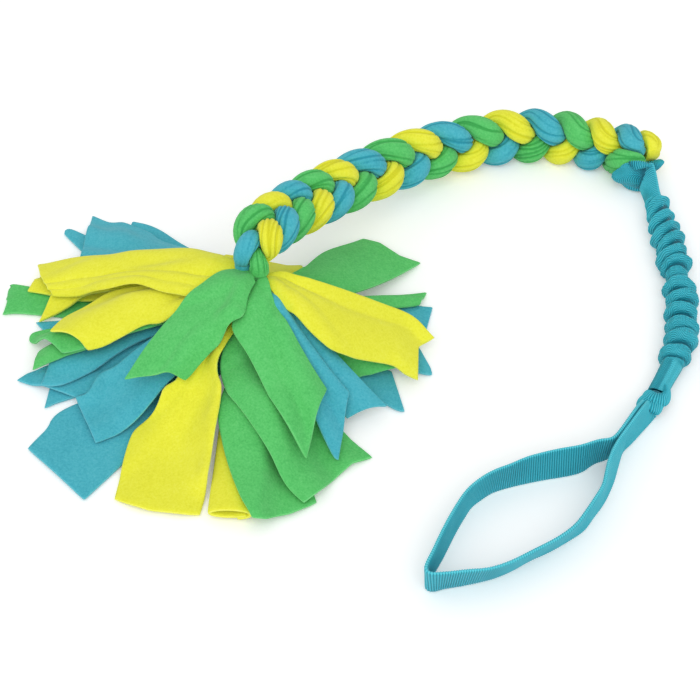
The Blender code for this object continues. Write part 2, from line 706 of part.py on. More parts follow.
def sleeve_stations(length):
    """Places along the sleeve with the share of a fold that stands out there."""
    group_a, group_b = SLEEVE_FOLDS
    gathered = length - 2 * SLEEVE_END - SLEEVE_SMOOTH
    step = gathered / (group_a + group_b)
    stations = [(0.0, 0.0), (SLEEVE_END * 0.7, 0.0)]
    at = SLEEVE_END
    for count in SLEEVE_FOLDS:
        for _ in range(count):
            stations.append((at + step * 0.30, 1.0))
            stations.append((at + step * 0.62, 0.9))
            stations.append((at + step * 0.98, 0.0))
            at += step
        at += SLEEVE_SMOOTH
    stations.append((length, 0.0))
    return stations


def build_sleeve(collection, parent):
    route, tangent, left, up, length = sleeve_line()
    along = np.linspace(0, length, len(route))
    outer, inner = [], []
    sides = 10
    for n, (at, fold) in enumerate(sleeve_stations(length)):
        middle = np.array([np.interp(at, along, route[:, k]) for k in range(3)])
        l = np.array([np.interp(at, along, left[:, k]) for k in range(3)])
        u = np.array([np.interp(at, along, up[:, k]) for k in range(3)])
        radius = SLEEVE_RADIUS + SLEEVE_FOLD * fold
        for ring, r in ((outer, radius), (inner, SLEEVE_RADIUS - SLEEVE_WALL)):
            ring.append([tuple(middle + l * r * math.cos(2 * math.pi * k / sides)
                               + u * r * math.sin(2 * math.pi * k / sides)) for k in range(sides)])
    mesh = bpy.data.meshes.new("bungee_sleeve")
    shape = bmesh.new()
    skins = [[[shape.verts.new(p) for p in ring] for ring in rings] for rings in (outer, inner)]
    for skin in skins:
        for a, b in zip(skin, skin[1:]):
            for k in range(sides):
                n = (k + 1) % sides
                shape.faces.new((a[k], a[n], b[n], b[k]))
    for end in (0, -1):
        a, b = skins[0][end], skins[1][end]
        for k in range(sides):
            n = (k + 1) % sides
            shape.faces.new((a[k], a[n], b[n], b[k]))
    bmesh.ops.recalc_face_normals(shape, faces=shape.faces)
    shape.to_mesh(mesh)
    shape.free()
    add_object("bungee_sleeve", mesh, collection, material("webbing", TEAL, 0.75), parent)
    begin, finish = GAP, length - GAP
    places = np.linspace(begin, finish, 22)
    cord = np.stack([np.interp(places, along, route[:, k]) for k in range(3)], axis=1)
    look = material("elastic", (0.75, 0.75, 0.72), 0.8)
    tube("bungee_elastic", cord, [ELASTIC_RADIUS] * len(cord), 1, collection, look, parent)


def build_knot(collection, parent):
    mesh = bpy.data.meshes.new("handle_knot")
    shape = bmesh.new()
    bmesh.ops.create_cube(shape, size=2.0)
    shape.to_mesh(mesh)
    shape.free()
    item = add_object("handle_knot", mesh, collection, material("webbing", TEAL, 0.75), parent)
    stretch = 1 / KNOT_SHARE
    item.scale = [r * stretch for r in KNOT_RADII]
    item.location = (*KNOT_PLACE, KNOT_RADII[2])
    item.rotation_euler = (0, 0, math.radians(KNOT_TURN))
    soft = item.modifiers.new("soft", "SUBSURF")
    soft.levels = 3
    soft.render_levels = 3
    return item


def build_loop(collection, parent):
    knot = np.array(KNOT_PLACE)
    first = np.array(LOOP_FAR[0])
    way = (first - knot) / np.linalg.norm(first - knot)
    beside = np.array([-way[1], way[0]]) * (WEB_THICKNESS / 2 + GAP)
    begin = knot + way * (KNOT_RADII[0] + GAP)
    points = [begin - beside, first - beside]
    points += [np.array(p) for p in LOOP_FAR[1:]] + [np.array(LOOP_CORNER)]
    points += [np.array(p) for p in LOOP_NEAR] + [first + beside, begin + beside]
    route, length = smooth_route([(p[0], p[1]) for p in points], 240)
    along = np.linspace(0, length, len(route))
    tangent = np.gradient(route, axis=0)
    tangent /= np.linalg.norm(tangent, axis=1)[:, None]
    left = np.stack([-tangent[:, 1], tangent[:, 0]], axis=1)
    marks = [0.0, 0.12, 0.40, 0.50, 0.58, 0.66, 0.85, 0.95, 1.0]
    leans = [0, 0, 4, 8, 18, 32, 26, 0, 0]
    pick = [0, 6] + list(range(14, 112, 9)) + list(range(112, 136, 4)) + list(range(138, 226, 9)) + [233, 239]
    rings = []
    for k in pick:
        lean = math.radians(np.interp(k / 239, marks, leans))
        spot, n = route[k], left[k]
        half, tall = WEB_THICKNESS / 2, WEB_WIDTH
        ring = []
        for a, b in ((-half, 0), (half, 0), (half, tall), (-half, tall)):
            off = a * math.cos(lean) - b * math.sin(lean)
            high = a * math.sin(lean) + b * math.cos(lean) + half * math.sin(abs(lean))
            ring.append((spot[0] + n[0] * off, spot[1] + n[1] * off, high))
        rings.append(ring)
    loft("hand_loop", rings, collection, material("webbing", TEAL, 0.75), parent)


def footprint(collection):
    """Lowest and highest corner of everything, with the modifiers applied."""
    bpy.context.view_layer.update()
    graph = bpy.context.evaluated_depsgraph_get()
    low, high = np.full(3, 9.0), np.full(3, -9.0)
    for item in collection.objects:
        if item.type not in {"MESH", "CURVE"}:
            continue
        shown = item.evaluated_get(graph)
        mesh = shown.to_mesh()
        points = np.empty(len(mesh.vertices) * 3)
        mesh.vertices.foreach_get("co", points)
        shown.to_mesh_clear()
        turn = np.array(item.matrix_world)
        points = points.reshape(-1, 3) @ turn[:3, :3].T + turn[:3, 3]
        low, high = np.minimum(low, points.min(0)), np.maximum(high, points.max(0))
    return low, high


def main():
    clear_scene()
    parts = new_collection("tug_toy")
    toy = bpy.data.objects.new("toy", None)
    parts.objects.link(toy)
    neck = axis_empty("pom_axis", (0, 0), parts, toy)
    hitch = axis_empty("hitch_axis", HITCH, parts, toy)
    handle = axis_empty("handle_axis", KNOT_PLACE, parts, hitch)
    pile = Pile()
    build_core(parts, neck)
    build_tails(parts, neck, pile)
    build_plait(parts, toy)
    build_hitch(parts, hitch)
    build_sleeve(parts, hitch)
    build_knot(parts, handle)
    build_loop(parts, handle)
    low, high = footprint(parts)
    middle = (low + high) / 2
    toy.location = (-middle[0], -middle[1], 0)


main()
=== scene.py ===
import math

import bmesh
import bpy
import numpy as np
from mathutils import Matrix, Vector


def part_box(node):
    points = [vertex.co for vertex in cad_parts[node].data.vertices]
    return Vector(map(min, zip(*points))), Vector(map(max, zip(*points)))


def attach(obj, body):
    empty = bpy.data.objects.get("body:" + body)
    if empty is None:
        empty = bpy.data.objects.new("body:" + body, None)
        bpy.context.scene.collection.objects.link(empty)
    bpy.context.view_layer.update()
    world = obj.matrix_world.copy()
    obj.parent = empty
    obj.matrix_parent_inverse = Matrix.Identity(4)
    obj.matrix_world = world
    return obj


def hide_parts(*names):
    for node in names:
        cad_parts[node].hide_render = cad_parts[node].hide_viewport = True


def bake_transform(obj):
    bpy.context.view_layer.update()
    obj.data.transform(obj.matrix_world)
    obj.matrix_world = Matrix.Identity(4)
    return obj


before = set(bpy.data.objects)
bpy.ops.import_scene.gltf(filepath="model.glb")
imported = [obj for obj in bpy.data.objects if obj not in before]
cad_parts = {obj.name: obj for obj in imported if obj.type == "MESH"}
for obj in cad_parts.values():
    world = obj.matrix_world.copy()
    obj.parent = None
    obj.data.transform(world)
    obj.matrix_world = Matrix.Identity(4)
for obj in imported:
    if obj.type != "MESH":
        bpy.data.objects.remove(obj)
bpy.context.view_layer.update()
print("frame loaded with", len(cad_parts), "parts")

# Everything below is worked out from the neck of the pom, where the tails are bound, and moved into
# the frame when its mesh is made.
coreLow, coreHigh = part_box("bound_core")
neck = np.array([(coreLow.x + coreHigh.x) / 2, (coreLow.y + coreHigh.y) / 2, 0.0])
clearance = 0.0003       # between pieces that don't touch, and above the table


# Camera, floor and light

studio = {
    "aim": (0.0464, -0.0040, 0.0),      # from the neck
    "distance": 1.4,
    "lift": 45,                          # degrees above the table
    "lens": 144,
    "sensor": 36,
    "floorSize": 8.0,
    "floorColour": (0.97, 0.97, 0.97),
    "skyStrength": 0.70,
    "keyStrength": 1.15,
    "floorGlow": 0.16,                   # only for the camera, so that the paper looks white
    "keyTurn": (38, -18, 20),            # degrees about X, Y and Z
    "keySoftness": 0.9,
}


def buildStudio(s):
    scene = bpy.context.scene
    scene.view_settings.view_transform = "Standard"
    aim = Vector(neck) + Vector(s["aim"])
    lift = math.radians(s["lift"])
    lens = bpy.data.cameras.new("photoCamera")
    lens.lens = s["lens"]
    lens.sensor_width = s["sensor"]
    camera = bpy.data.objects.new("photoCamera", lens)
    scene.collection.objects.link(camera)
    camera.location = aim + Vector((0, -math.cos(lift), math.sin(lift))) * s["distance"]
    camera.rotation_euler = (math.pi / 2 - lift, 0, 0)
    scene.camera = camera

    world = bpy.data.worlds.new("sky")
    world.use_nodes = True
    scene.world = world
    nodes, links = world.node_tree.nodes, world.node_tree.links
    sky = nodes["Background"]
    sky.inputs["Strength"].default_value = s["skyStrength"]
    sky.inputs["Color"].default_value = (1, 1, 1, 1)
    plain = nodes.new("ShaderNodeBackground")
    ray = nodes.new("ShaderNodeLightPath")
    mix = nodes.new("ShaderNodeMixShader")
    links.new(ray.outputs["Is Camera Ray"], mix.inputs[0])
    links.new(sky.outputs[0], mix.inputs[1])
    links.new(plain.outputs[0], mix.inputs[2])
    links.new(mix.outputs[0], nodes["World Output"].inputs["Surface"])
    plain.inputs["Color"].default_value = (1, 1, 1, 1)

    lamp = bpy.data.lights.new("key", "SUN")
    lamp.energy = s["keyStrength"]
    lamp.angle = s["keySoftness"]
    key = bpy.data.objects.new("key", lamp)
    key.rotation_euler = [math.radians(a) for a in s["keyTurn"]]
    scene.collection.objects.link(key)

    half = s["floorSize"] / 2
    mesh = bpy.data.meshes.new("floor")
    corners = [(-half, -half, 0), (half, -half, 0), (half, half, 0), (-half, half, 0)]
    mesh.from_pydata(corners, [], [(0, 1, 2, 3)])
    floor = bpy.data.objects.new("floor", mesh)
    scene.collection.objects.link(floor)
    paper = bpy.data.materials.new("paper")
    paper.use_nodes = True
    shader = paper.node_tree.nodes["Principled BSDF"]
    shader.inputs["Base Color"].default_value = (*s["floorColour"], 1)
    shader.inputs["Roughness"].default_value = 1.0
    shader.inputs["Specular IOR Level"].default_value = 0.0
    shader.inputs["Emission Color"].default_value = (1, 1, 1, 1)
    ray = paper.node_tree.nodes.new("ShaderNodeLightPath")
    glow = paper.node_tree.nodes.new("ShaderNodeMath")
    glow.operation = "MULTIPLY"
    glow.inputs[1].default_value = s["floorGlow"]
    paper.node_tree.links.new(ray.outputs["Is Camera Ray"], glow.inputs[0])
    paper.node_tree.links.new(glow.outputs[0], shader.inputs["Emission Strength"])
    mesh.materials.append(paper)


buildStudio(studio)
print("studio ready")


# Materials. A Wire is one socket, and sums on it add Math nodes.

class Wire:
    def __init__(self, board, socket):
        self.board = board
        self.socket = socket

    def sum(self, kind, other=None, flip=False):
        values = {0: other, 1: self} if flip else {0: self}
        if other is not None and not flip:
            values[1] = other
        return self.board.add("ShaderNodeMath", {"operation": kind}, values)

    def __add__(self, other):
        return self.sum("ADD", other)

    def __radd__(self, other):
        return self.sum("ADD", other, True)

    def __sub__(self, other):
        return self.sum("SUBTRACT", other)

    def __rsub__(self, other):
        return self.sum("SUBTRACT", other, True)

    def __mul__(self, other):
        return self.sum("MULTIPLY", other)

    def __rmul__(self, other):
        return self.sum("MULTIPLY", other, True)

    def sine(self):
        return self.sum("SINE")

    def clamped(self):
        return self.board.add("ShaderNodeClamp", {}, {"Value": self})


class Board:
    def __init__(self, name):
        self.material = bpy.data.materials.new(name)
        self.material.use_nodes = True
        self.tree = self.material.node_tree
        self.shader = self.tree.nodes["Principled BSDF"]

    def add(self, kind, settings=None, values=None, out=0):
        node = self.tree.nodes.new(kind)
        for key, value in (settings or {}).items():
            if key == "stops":
                self.setStops(node.color_ramp, value)
            else:
                setattr(node, key, value)
        for key, value in (values or {}).items():
            self.feed(node.inputs[key], value)
        return Wire(self, node.outputs[out])

    def setStops(self, ramp, stops):
        while len(ramp.elements) < len(stops):
            ramp.elements.new(0.5)
        for stop, (place, colour) in zip(ramp.elements, stops):
            stop.position = place
            stop.color = (*colour, 1)

    def feed(self, socket, value):
        if isinstance(value, Wire):
            self.tree.links.new(value.socket, socket)
        elif isinstance(value, tuple) and len(value) == 3 and socket.type == "RGBA":
            socket.default_value = (*value, 1)
        else:
            socket.default_value = value

    def noise(self, place, scale, detail, **more):
        values = {"Vector": place, "Scale": scale, "Detail": detail, **more}
        return self.add("ShaderNodeTexNoise", {}, values)

    def attribute(self, label):
        return self.add("ShaderNodeAttribute", {"attribute_name": label}, out="Fac")

    def bump(self, height, strength, distance):
        return self.add("ShaderNodeBump", {}, {"Height": height, "Strength": strength, "Distance": distance})

    def blend(self, share, a, b):
        return self.add("ShaderNodeMix", {"data_type": "RGBA"}, {0: share, 6: a, 7: b}, out=2)

    def finish(self, **sockets):
        for name, value in sockets.items():
            self.feed(self.shader.inputs[name.replace("_", " ")], value)
        return self.material


fleece = {
    "pileScale": 900,          # per metre: the nap's own curls
    "tuftScale": 260,
    "toneScale": 34,           # broad changes of tone over a strip
    "pileDepth": 0.00045,      # metres of bump
    "shares": (0.8, 0.30, 0.20),    # how far pile, tufts and tone change the colour
    "creaseShade": 0.75,
    "colours": {               # shadowed, middle and lit nap, and the cut edge
        "blue": ((0.030, 0.310, 0.405), (0.072, 0.450, 0.545),
                 (0.130, 0.540, 0.630), (0.200, 0.600, 0.690)),
        "green": ((0.055, 0.400, 0.090), (0.108, 0.565, 0.148),
                  (0.175, 0.660, 0.215), (0.260, 0.710, 0.285)),
        "yellow": ((0.690, 0.680, 0.026), (0.825, 0.825, 0.052),
                   (0.900, 0.905, 0.115), (0.940, 0.930, 0.260)),
    },
}


def fleeceMaterial(name, shades, s, creased=False):
    board = Board(name)
    place = board.add("ShaderNodeTexCoord", out="Object")
    pile = board.noise(place, s["pileScale"], 2.0, Roughness=0.7)
    tuft = board.noise(place, s["tuftScale"], 3.0, Roughness=0.6)
    tone = board.noise(place, s["toneScale"], 2.0)
    byPile, byTuft, byTone = s["shares"]
    share = 0.5 + (pile - 0.5) * byPile + (tuft - 0.5) * byTuft + (tone - 0.5) * byTone
    if creased:
        share = share - board.attribute("crease") * s["creaseShade"]
    stops = ((0.1, shades[0]), (0.5, shades[1]), (0.9, shades[2]))
    colour = board.add("ShaderNodeValToRGB", {"stops": stops}, {"Fac": share.clamped()})
    height = pile * 0.70 + tuft * 0.30
    bump = board.bump(height, 0.55, s["pileDepth"])
    return board.finish(Base_Color=colour, Normal=bump, Roughness=0.95, Specular_IOR_Level=0.12,
                        Sheen_Weight=0.12, Sheen_Roughness=0.5)


webbing = {
    "ribPitch": 0.00118,
    "ribDepth": 0.00026,
    "threadPitch": 0.00062,
    "threadDepth": 0.00012,
    "ringsToRib": 6,
    "edgeRib": 0.35,           # how strongly the ribs show at a strap's rounded edges
    "selvedge": (0.46, -0.6),  # the share of the width past which it is lighter, and by how much
    "ground": 0.12,            # the colour's place between the ribs, where shade is painted
    "shares": (0.62, 0.08, 0.30, 0.25, 0.55),    # how far the ribs' painted light and shade, threads, grain, tone and the painted shade of folds change it
    "colours": ((0.002, 0.135, 0.190), (0.012, 0.420, 0.530), (0.110, 0.620, 0.720)),
}


def webbingMaterial(name, s):
    board = Board(name)
    place = board.add("ShaderNodeTexCoord", out="Object")
    grain = board.noise(place, 1500.0, 2.0)
    tone = board.noise(place, 60.0, 1.0)
    # Painted highlight on each rib's top and painted shade between ribs, in step with the ribs that the
    # geometry raises
    rib = 0.5 + (board.attribute("run") * (2 * math.pi / s["ribPitch"])).sine() * 0.5
    thread = 0.5 + (board.attribute("across") * (2 * math.pi / s["threadPitch"])).sine() * 0.5
    byRibShading, byThread, byGrain, byTone, byValleyShade = s["shares"]
    share = s["ground"] + rib * byRibShading + thread * byThread + (grain - 0.5) * byGrain
    # The valley attribute is painted shade in folds and shadows; where it is negative the colour is lighter
    share = share + (tone - 0.5) * byTone - board.attribute("valley") * byValleyShade
    dark, middle, light = s["colours"]
    stops = ((0.0, dark), (0.45, middle), (1.0, light))
    colour = board.add("ShaderNodeValToRGB", {"stops": stops}, {"Fac": share.clamped()})
    bump = board.bump(thread * 0.6 + grain * 0.4, 0.5, s["threadDepth"])
    return board.finish(Base_Color=colour, Normal=bump, Roughness=0.55, Specular_IOR_Level=0.35,
                        Sheen_Weight=0.15, Sheen_Roughness=0.35)


looks = {}
for shade, tones in fleece["colours"].items():
    looks[shade] = fleeceMaterial("fleece_" + shade, tones[:3], fleece)
    looks[shade + "Creased"] = fleeceMaterial("fleece_strand_" + shade, tones[:3], fleece, creased=True)
    looks[shade + "Edge"] = fleeceMaterial("fleece_edge_" + shade, tones[1:], fleece)
looks["webbing"] = webbingMaterial("webbing", webbing)
print("materials ready:", len(looks))


# Helpers for meshes

def makePiece(name, points, faces, materials, attributes=None):
    mesh = bpy.data.meshes.new(name)
    mesh.from_pydata([tuple(p) for p in np.asarray(points) + neck], [], faces)
    for look in materials:
        mesh.materials.append(look)
    for key, values in (attributes or {}).items():
        attribute = mesh.attributes.new(key, "FLOAT", "POINT")
        attribute.data.foreach_set("value", np.asarray(values, np.float32).ravel())
    mesh.polygons.foreach_set("use_smooth", np.ones(len(mesh.polygons), bool))
    mesh.update()
    piece = bpy.data.objects.new(name, mesh)
    bpy.context.scene.collection.objects.link(piece)
    return piece


def gridFaces(rows, cols, closed=False):
    faces = []
    span = cols if closed else cols - 1
    for i in range(rows - 1):
        for j in range(span):
            n = (j + 1) % cols
            faces.append((i * cols + j, i * cols + n, (i + 1) * cols + n, (i + 1) * cols + j))
    return faces


def faceOutward(piece):
    shape = bmesh.new()
    shape.from_mesh(piece.data)
    bmesh.ops.recalc_face_normals(shape, faces=shape.faces)
    shape.to_mesh(piece.data)
    shape.free()


def fasten(piece, body, node, slot):
    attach(piece, body)
    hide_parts(node)


def lengthAlong(points):
    return np.concatenate([[0], np.cumsum(np.linalg.norm(np.diff(points, axis=0), axis=1))])


def runAlong(tube):
    # The same for every line of a tube, given ring by ring
    steps = np.linalg.norm(np.diff(tube, axis=0), axis=2)
    return np.concatenate([np.zeros((1, tube.shape[1])), np.cumsum(steps, axis=0)])


def valuesAt(at, places, values):
    return np.stack([np.interp(at, places, values[:, k]) for k in range(values.shape[1])], axis=1)


def capEnds(faces, rings, around, shift=0):
    last = shift + (rings - 1) * around
    faces.append(tuple(shift + k for k in range(around)))
    faces.append(tuple(last + k for k in range(around))[::-1])


def fanEnds(faces, rings, around, low, high):
    # Closes both ends of a tube with triangles to a point in the middle of each
    last = (rings - 1) * around
    for k in range(around):
        n = (k + 1) % around
        faces.append((k, n, low))
        faces.append((last + k, last + n, high))


def evenTurns(count, offset=0.0):
    return 2 * math.pi * (np.arange(count) + offset) / count


def fromEnds(count, share):
    # Rises from 0 at both ends of a row of places to 1 within a share of it
    return smoothstep(np.minimum(np.linspace(0, 1, count), np.linspace(1, 0, count)) / share)


def smoothRoute(points, count):
    points = [np.array(p, float) for p in points]
    ends = [2 * points[0] - points[1]] + points + [2 * points[-1] - points[-2]]
    fine = []
    for i in range(1, len(ends) - 2):
        a, b, c, d = ends[i - 1:i + 3]
        for t in np.linspace(0, 1, 24, endpoint=False):
            fine.append(0.5 * (2 * b + (c - a) * t + (2 * a - 5 * b + 4 * c - d) * t ** 2
                               + (3 * b - a - 3 * c + d) * t ** 3))
    fine.append(ends[-2])
    fine = np.array(fine)
    along = lengthAlong(fine)
    return valuesAt(np.linspace(0, along[-1], count), along, fine), along[-1]


def smoothstep(value):
    value = np.clip(value, 0.0, 1.0)
    return value * value * (3 - 2 * value)


def softCurve(places, values, at):
    # Cubic through the given values, level at both ends
    slopes = np.gradient(values, places)
    slopes[0] = slopes[-1] = 0
    k = np.clip(np.searchsorted(places, at) - 1, 0, len(places) - 2)
    width = places[k + 1] - places[k]
    t = (at - places[k]) / width
    return ((2 * t ** 3 - 3 * t ** 2 + 1) * values[k] + (t ** 3 - 2 * t ** 2 + t) * width * slopes[k]
            + (3 * t ** 2 - 2 * t ** 3) * values[k + 1] + (t ** 3 - t ** 2) * width * slopes[k + 1])


def unit(vectors):
    return vectors / np.linalg.norm(vectors, axis=-1, keepdims=True)


# Places given by the camera's pixels, in a frame of 700

frameSize = 700
focal = frameSize * studio["lens"] / studio["sensor"]


def fromPhoto(u, v, height):
    # Where a pixel's ray meets a height above the table
    low, high = math.cos(math.radians(studio["lift"])), math.sin(math.radians(studio["lift"]))
    right, up = (u - frameSize / 2) / focal, -(v - frameSize / 2) / focal
    reach = (height - studio["distance"] * high) / (up * low - high)
    x = studio["aim"][0] + right * reach
    y = studio["aim"][1] - studio["distance"] * low + (up * high + low) * reach
    return x, y


# The pom's tails, each laid on the pile below it

pom = {
    "lowest": 0.0006,          # how near the floor the cloth lies
    "stripWidth": 0.042,
    "stripThickness": 0.0018,
    "boundWidth": 0.0085,
    "gatherLength": 0.013,
    "plyGap": 0.00025,
    "spread": 0.45,
    "landing": 0.095,
    "headLow": 0.004,
    "headHigh": 0.0485,
    "coreRadius": 0.0125,
    "coreNeckRadius": 0.0045,
    "coreShoulder": 0.022,
    "coreWaist": 0.040,
    "rings": 42,
    "across": 21,
    "sag": 0.00016,            # how far the cloth sinks between one place and the next
    "pleats": 2.5,             # gathers across a tail at the binding
    "pleatDepth": 0.0005,
    "pleatLength": 0.022,
    "stiffness": 5,            # how many times the pile's steps are evened out under a tail
    "crownHeight": 0.0540,     # the pile's smooth crown round the neck
    "crownDrop": 0.0060,
    "crownRadius": 0.030,
    "crownReach": 0.026,       # past this the crown lets go
    "crownSlope": 0.5,         # past its reach the limit rises this fast, and then faster
    "crownCurve": 40,
    "crownPly": 0.0005,        # how much of the crown each tail takes up
    "topPly": 0.0018,          # and each of the uppermost ones
    "topTails": 5,
    "seed": 7,
}
# Colour, how far the tip lies from the neck, its bearing and heading in degrees, how much further the
# left edge runs than the right one, the share of the width that shows flat, and how far out it lands
tails = (
    ("green", 0.131, 167, 170, 0.002, 0.60, 0.95),
    ("blue", 0.104, 194, 214, 0.026, 0.80, 0.85),
    ("blue", 0.130, 224, 231, 0.007, 1.00, 0.90),
    ("blue", 0.100, 181, 185, -0.022, 0.80, 0.95),
    ("blue", 0.117, 150, 150, -0.028, 0.85, 0.90),
    ("blue", 0.080, -18, -40, -0.026, 0.90, 0.75),
    ("blue", 0.080, 0, -14, -0.024, 0.90, 0.75),
    ("blue", 0.087, 6, 5, 0.004, 0.80, 0.80),
    ("yellow", 0.119, -95, -93, 0.000, 0.50, 0.90),
    ("green", 0.080, 9, 15, 0.024, 0.90, 0.80),
    ("green", 0.116, -82, -78, -0.004, 0.86, 0.85),
    ("blue", 0.106, 202, 206, -0.024, 0.86, 0.92),
    ("yellow", 0.055, 88, 73, 0.000, 1.00, 0.60),
    ("green", 0.094, 46, 42, -0.014, 0.85, 1.00),
    ("blue", 0.106, 138, 125, -0.014, 0.90, 0.95),
    ("blue", 0.105, 188, 206, 0.020, 0.80, 1.00),
    ("green", 0.104, 181, 204, 0.026, 0.80, 1.00),
    ("green", 0.098, 188, 205, -0.018, 0.80, 1.05),
    ("yellow", 0.118, 158, 165, 0.010, 0.52, 1.10),
    ("green", 0.063, -24, -35, 0.026, 0.90, 0.80),
    ("green", 0.105, -67, -57, -0.009, 1.05, 0.90),
    ("blue", 0.099, 214, 218, 0.008, 0.80, 1.05),
    ("yellow", 0.106, 167, 188, 0.018, 0.74, 1.10),
    ("yellow", 0.121, 248, 254, -0.002, 1.02, 0.95),
    ("blue", 0.116, 144, 135, -0.026, 0.95, 1.15),
    ("blue", 0.070, -54, -36, 0.026, 0.95, 0.90),
    ("yellow", 0.094, 185, 196, -0.018, 0.64, 1.15),
    ("blue", 0.079, -59, -44, -0.022, 0.86, 1.00),
    ("yellow", 0.087, -13, -11, 0.003, 0.84, 1.10),
    ("yellow", 0.115, 161, 166, -0.020, 0.70, 1.45),
    ("green", 0.077, -68, -57, -0.026, 0.68, 1.10),
    ("green", 0.067, 223, 223, -0.020, 0.78, 1.25),
)
# Heights of the folds across a tail, from its right edge to its left one, by its place in the pile
tailFolds = {
    11: (0, 0.002, 0.003, 0.002, 0),
    14: (0, 0.002, 0.003, 0.002, 0),
    21: (0, 0.003, 0.001, 0.003, 0),
    22: (0.004, 0.001, 0, 0.001, 0),
    24: (0, 0.002, 0.0005, 0.002, 0),
    25: (0, 0.003, 0.004, 0.002, 0),
    26: (0, 0.002, 0.003, 0.002, 0),
    27: (0, 0.002, 0.003, 0.002, 0),
    28: (0, 0.003, 0.0035, 0.003, 0),
    29: (0, 0.0025, 0.0040, 0.0045, 0.0040, 0.0030, 0.0004, 0.0022, 0.0040),
    30: (0, 0.0025, 0.0040, 0.0045, 0.0040, 0.0032, 0.0006, 0.0026, 0.0006, 0.0018, 0),
    31: (0, 0.003, 0.004, 0.003, 0),
    32: (0, 0.003, 0.005, 0.0055, 0.001),
}
rolledTail = 9
# The two edges of the tails where the photograph shows them, towards the cut end, in pixels: first the
# edge on the right as one looks out along the tail, then the one on the left
tailEdges = {
    1: (((27, 286), (14, 287)), ((36, 314), (2, 314))),
    2: (((56, 362),), ((75, 397), (44, 408))),
    3: (((75, 404), (45, 430), (27, 448)), ((150, 438), (121, 466), (84, 500))),
    5: (((83, 234), (64, 234)), ((95, 264),)),
    6: (((387, 404), (405, 411)), ((392, 371),)),
    7: (((418, 372), (432, 372)), ((418, 345),)),
    8: (((424, 338),), ((390, 303), (433, 307))),
    10: (((400, 306), (420, 303)), ((364, 296), (427, 292))),
    11: (((220, 400), (222, 440), (238, 490), (252, 516)), ((317, 502),)),
    12: (((50, 364), (16, 380)), ((75, 396),)),
    14: (((353, 292), (421, 262)), ((301, 268), (325, 251), (363, 238))),
    15: (((189, 247), (165, 232), (150, 225), (132, 221)), ((118, 252),)),
    16: (((57, 350),), ((140, 340), (92, 370), (60, 384), (40, 384))),
    17: (((43, 346),), ((86, 348), (60, 357), (32, 369))),
    18: (((49, 329), (30, 340)), ((90, 345), (62, 352))),
    19: (((75, 262), (38, 279)), ((60, 296), (27, 290))),
    20: (((358, 376),), ((398, 366),)),
    21: (((222, 350), (225, 387), (240, 407), (267, 447), (283, 480), (304, 502)),
         ((330, 410), (345, 432), (373, 457))),
    22: (((140, 345), (117, 364), (100, 372), (88, 391), (75, 395)),
         ((195, 355), (167, 382), (133, 422), (95, 442))),
    23: (((120, 268), (53, 290)), ((104, 291), (70, 305), (38, 321))),
    24: (((178, 369), (168, 379), (152, 399), (136, 420), (130, 432), (124, 456), (114, 499)),
         ((220, 352), (222, 385), (218, 415), (209, 468), (200, 515))),
    25: (((172, 245), (150, 232), (128, 223), (110, 222), (92, 215)), ((80, 256),)),
    26: (((347, 416),), ((300, 312), (330, 346), (360, 378), (387, 405))),
    27: (((150, 283), (110, 291), (75, 312), (50, 331)), ((170, 317), (147, 323), (117, 338), (88, 347))),
    28: (((325, 440), (338, 459)), ((290, 315), (318, 352), (349, 391))),
    29: (((290, 310), (320, 340), (340, 352), (388, 363), (403, 372), (418, 379)),
         ((283, 270), (300, 274), (330, 283), (380, 301), (412, 314), (435, 336))),
    30: (((249, 269), (229, 257), (188, 248), (141, 250), (82, 256), (37, 264)),
         ((247, 282), (232, 292), (188, 295), (132, 283), (104, 288), (78, 294), (53, 293))),
    31: (((238, 310), (232, 327), (250, 357), (280, 412), (306, 458)),
         ((275, 303), (293, 330), (310, 362), (326, 388))),
    32: (((250, 270), (223, 270), (203, 282), (180, 305), (147, 344), (124, 378)),
         ((252, 283), (247, 296), (243, 314), (232, 320), (218, 344), (200, 362), (185, 378))),
}
# Cut ends that aren't straight, from the right corner to the left one
tailCuts = {
    11: ((252, 516), (265, 518), (290, 513), (317, 502)),
    14: ((421, 262), (400, 255), (380, 242), (363, 238)),
    21: ((304, 502), (333, 480), (353, 462), (373, 457)),
    24: ((114, 499), (150, 510), (200, 515)),
    29: ((418, 379), (418, 346), (435, 336)),
    30: ((37, 264), (40, 275), (47, 286), (53, 293)),
}


def coreRadiusAt(height):
    share = np.clip((height - pom["coreShoulder"]) / (pom["coreWaist"] - pom["coreShoulder"]), 0, 1)
    return pom["coreRadius"] + (pom["coreNeckRadius"] - pom["coreRadius"]) * share


def crownAt(radius, rank):
    below = len(tails) - 1 - rank
    under = pom["topPly"] * min(below, pom["topTails"]) + pom["crownPly"] * max(0, below - pom["topTails"])
    crown = pom["crownHeight"] - under - pom["crownDrop"] * (radius / pom["crownRadius"]) ** 2
    free = np.maximum(0, radius - pom["crownReach"])
    return crown + free * pom["crownSlope"] + pom["crownCurve"] * free ** 2


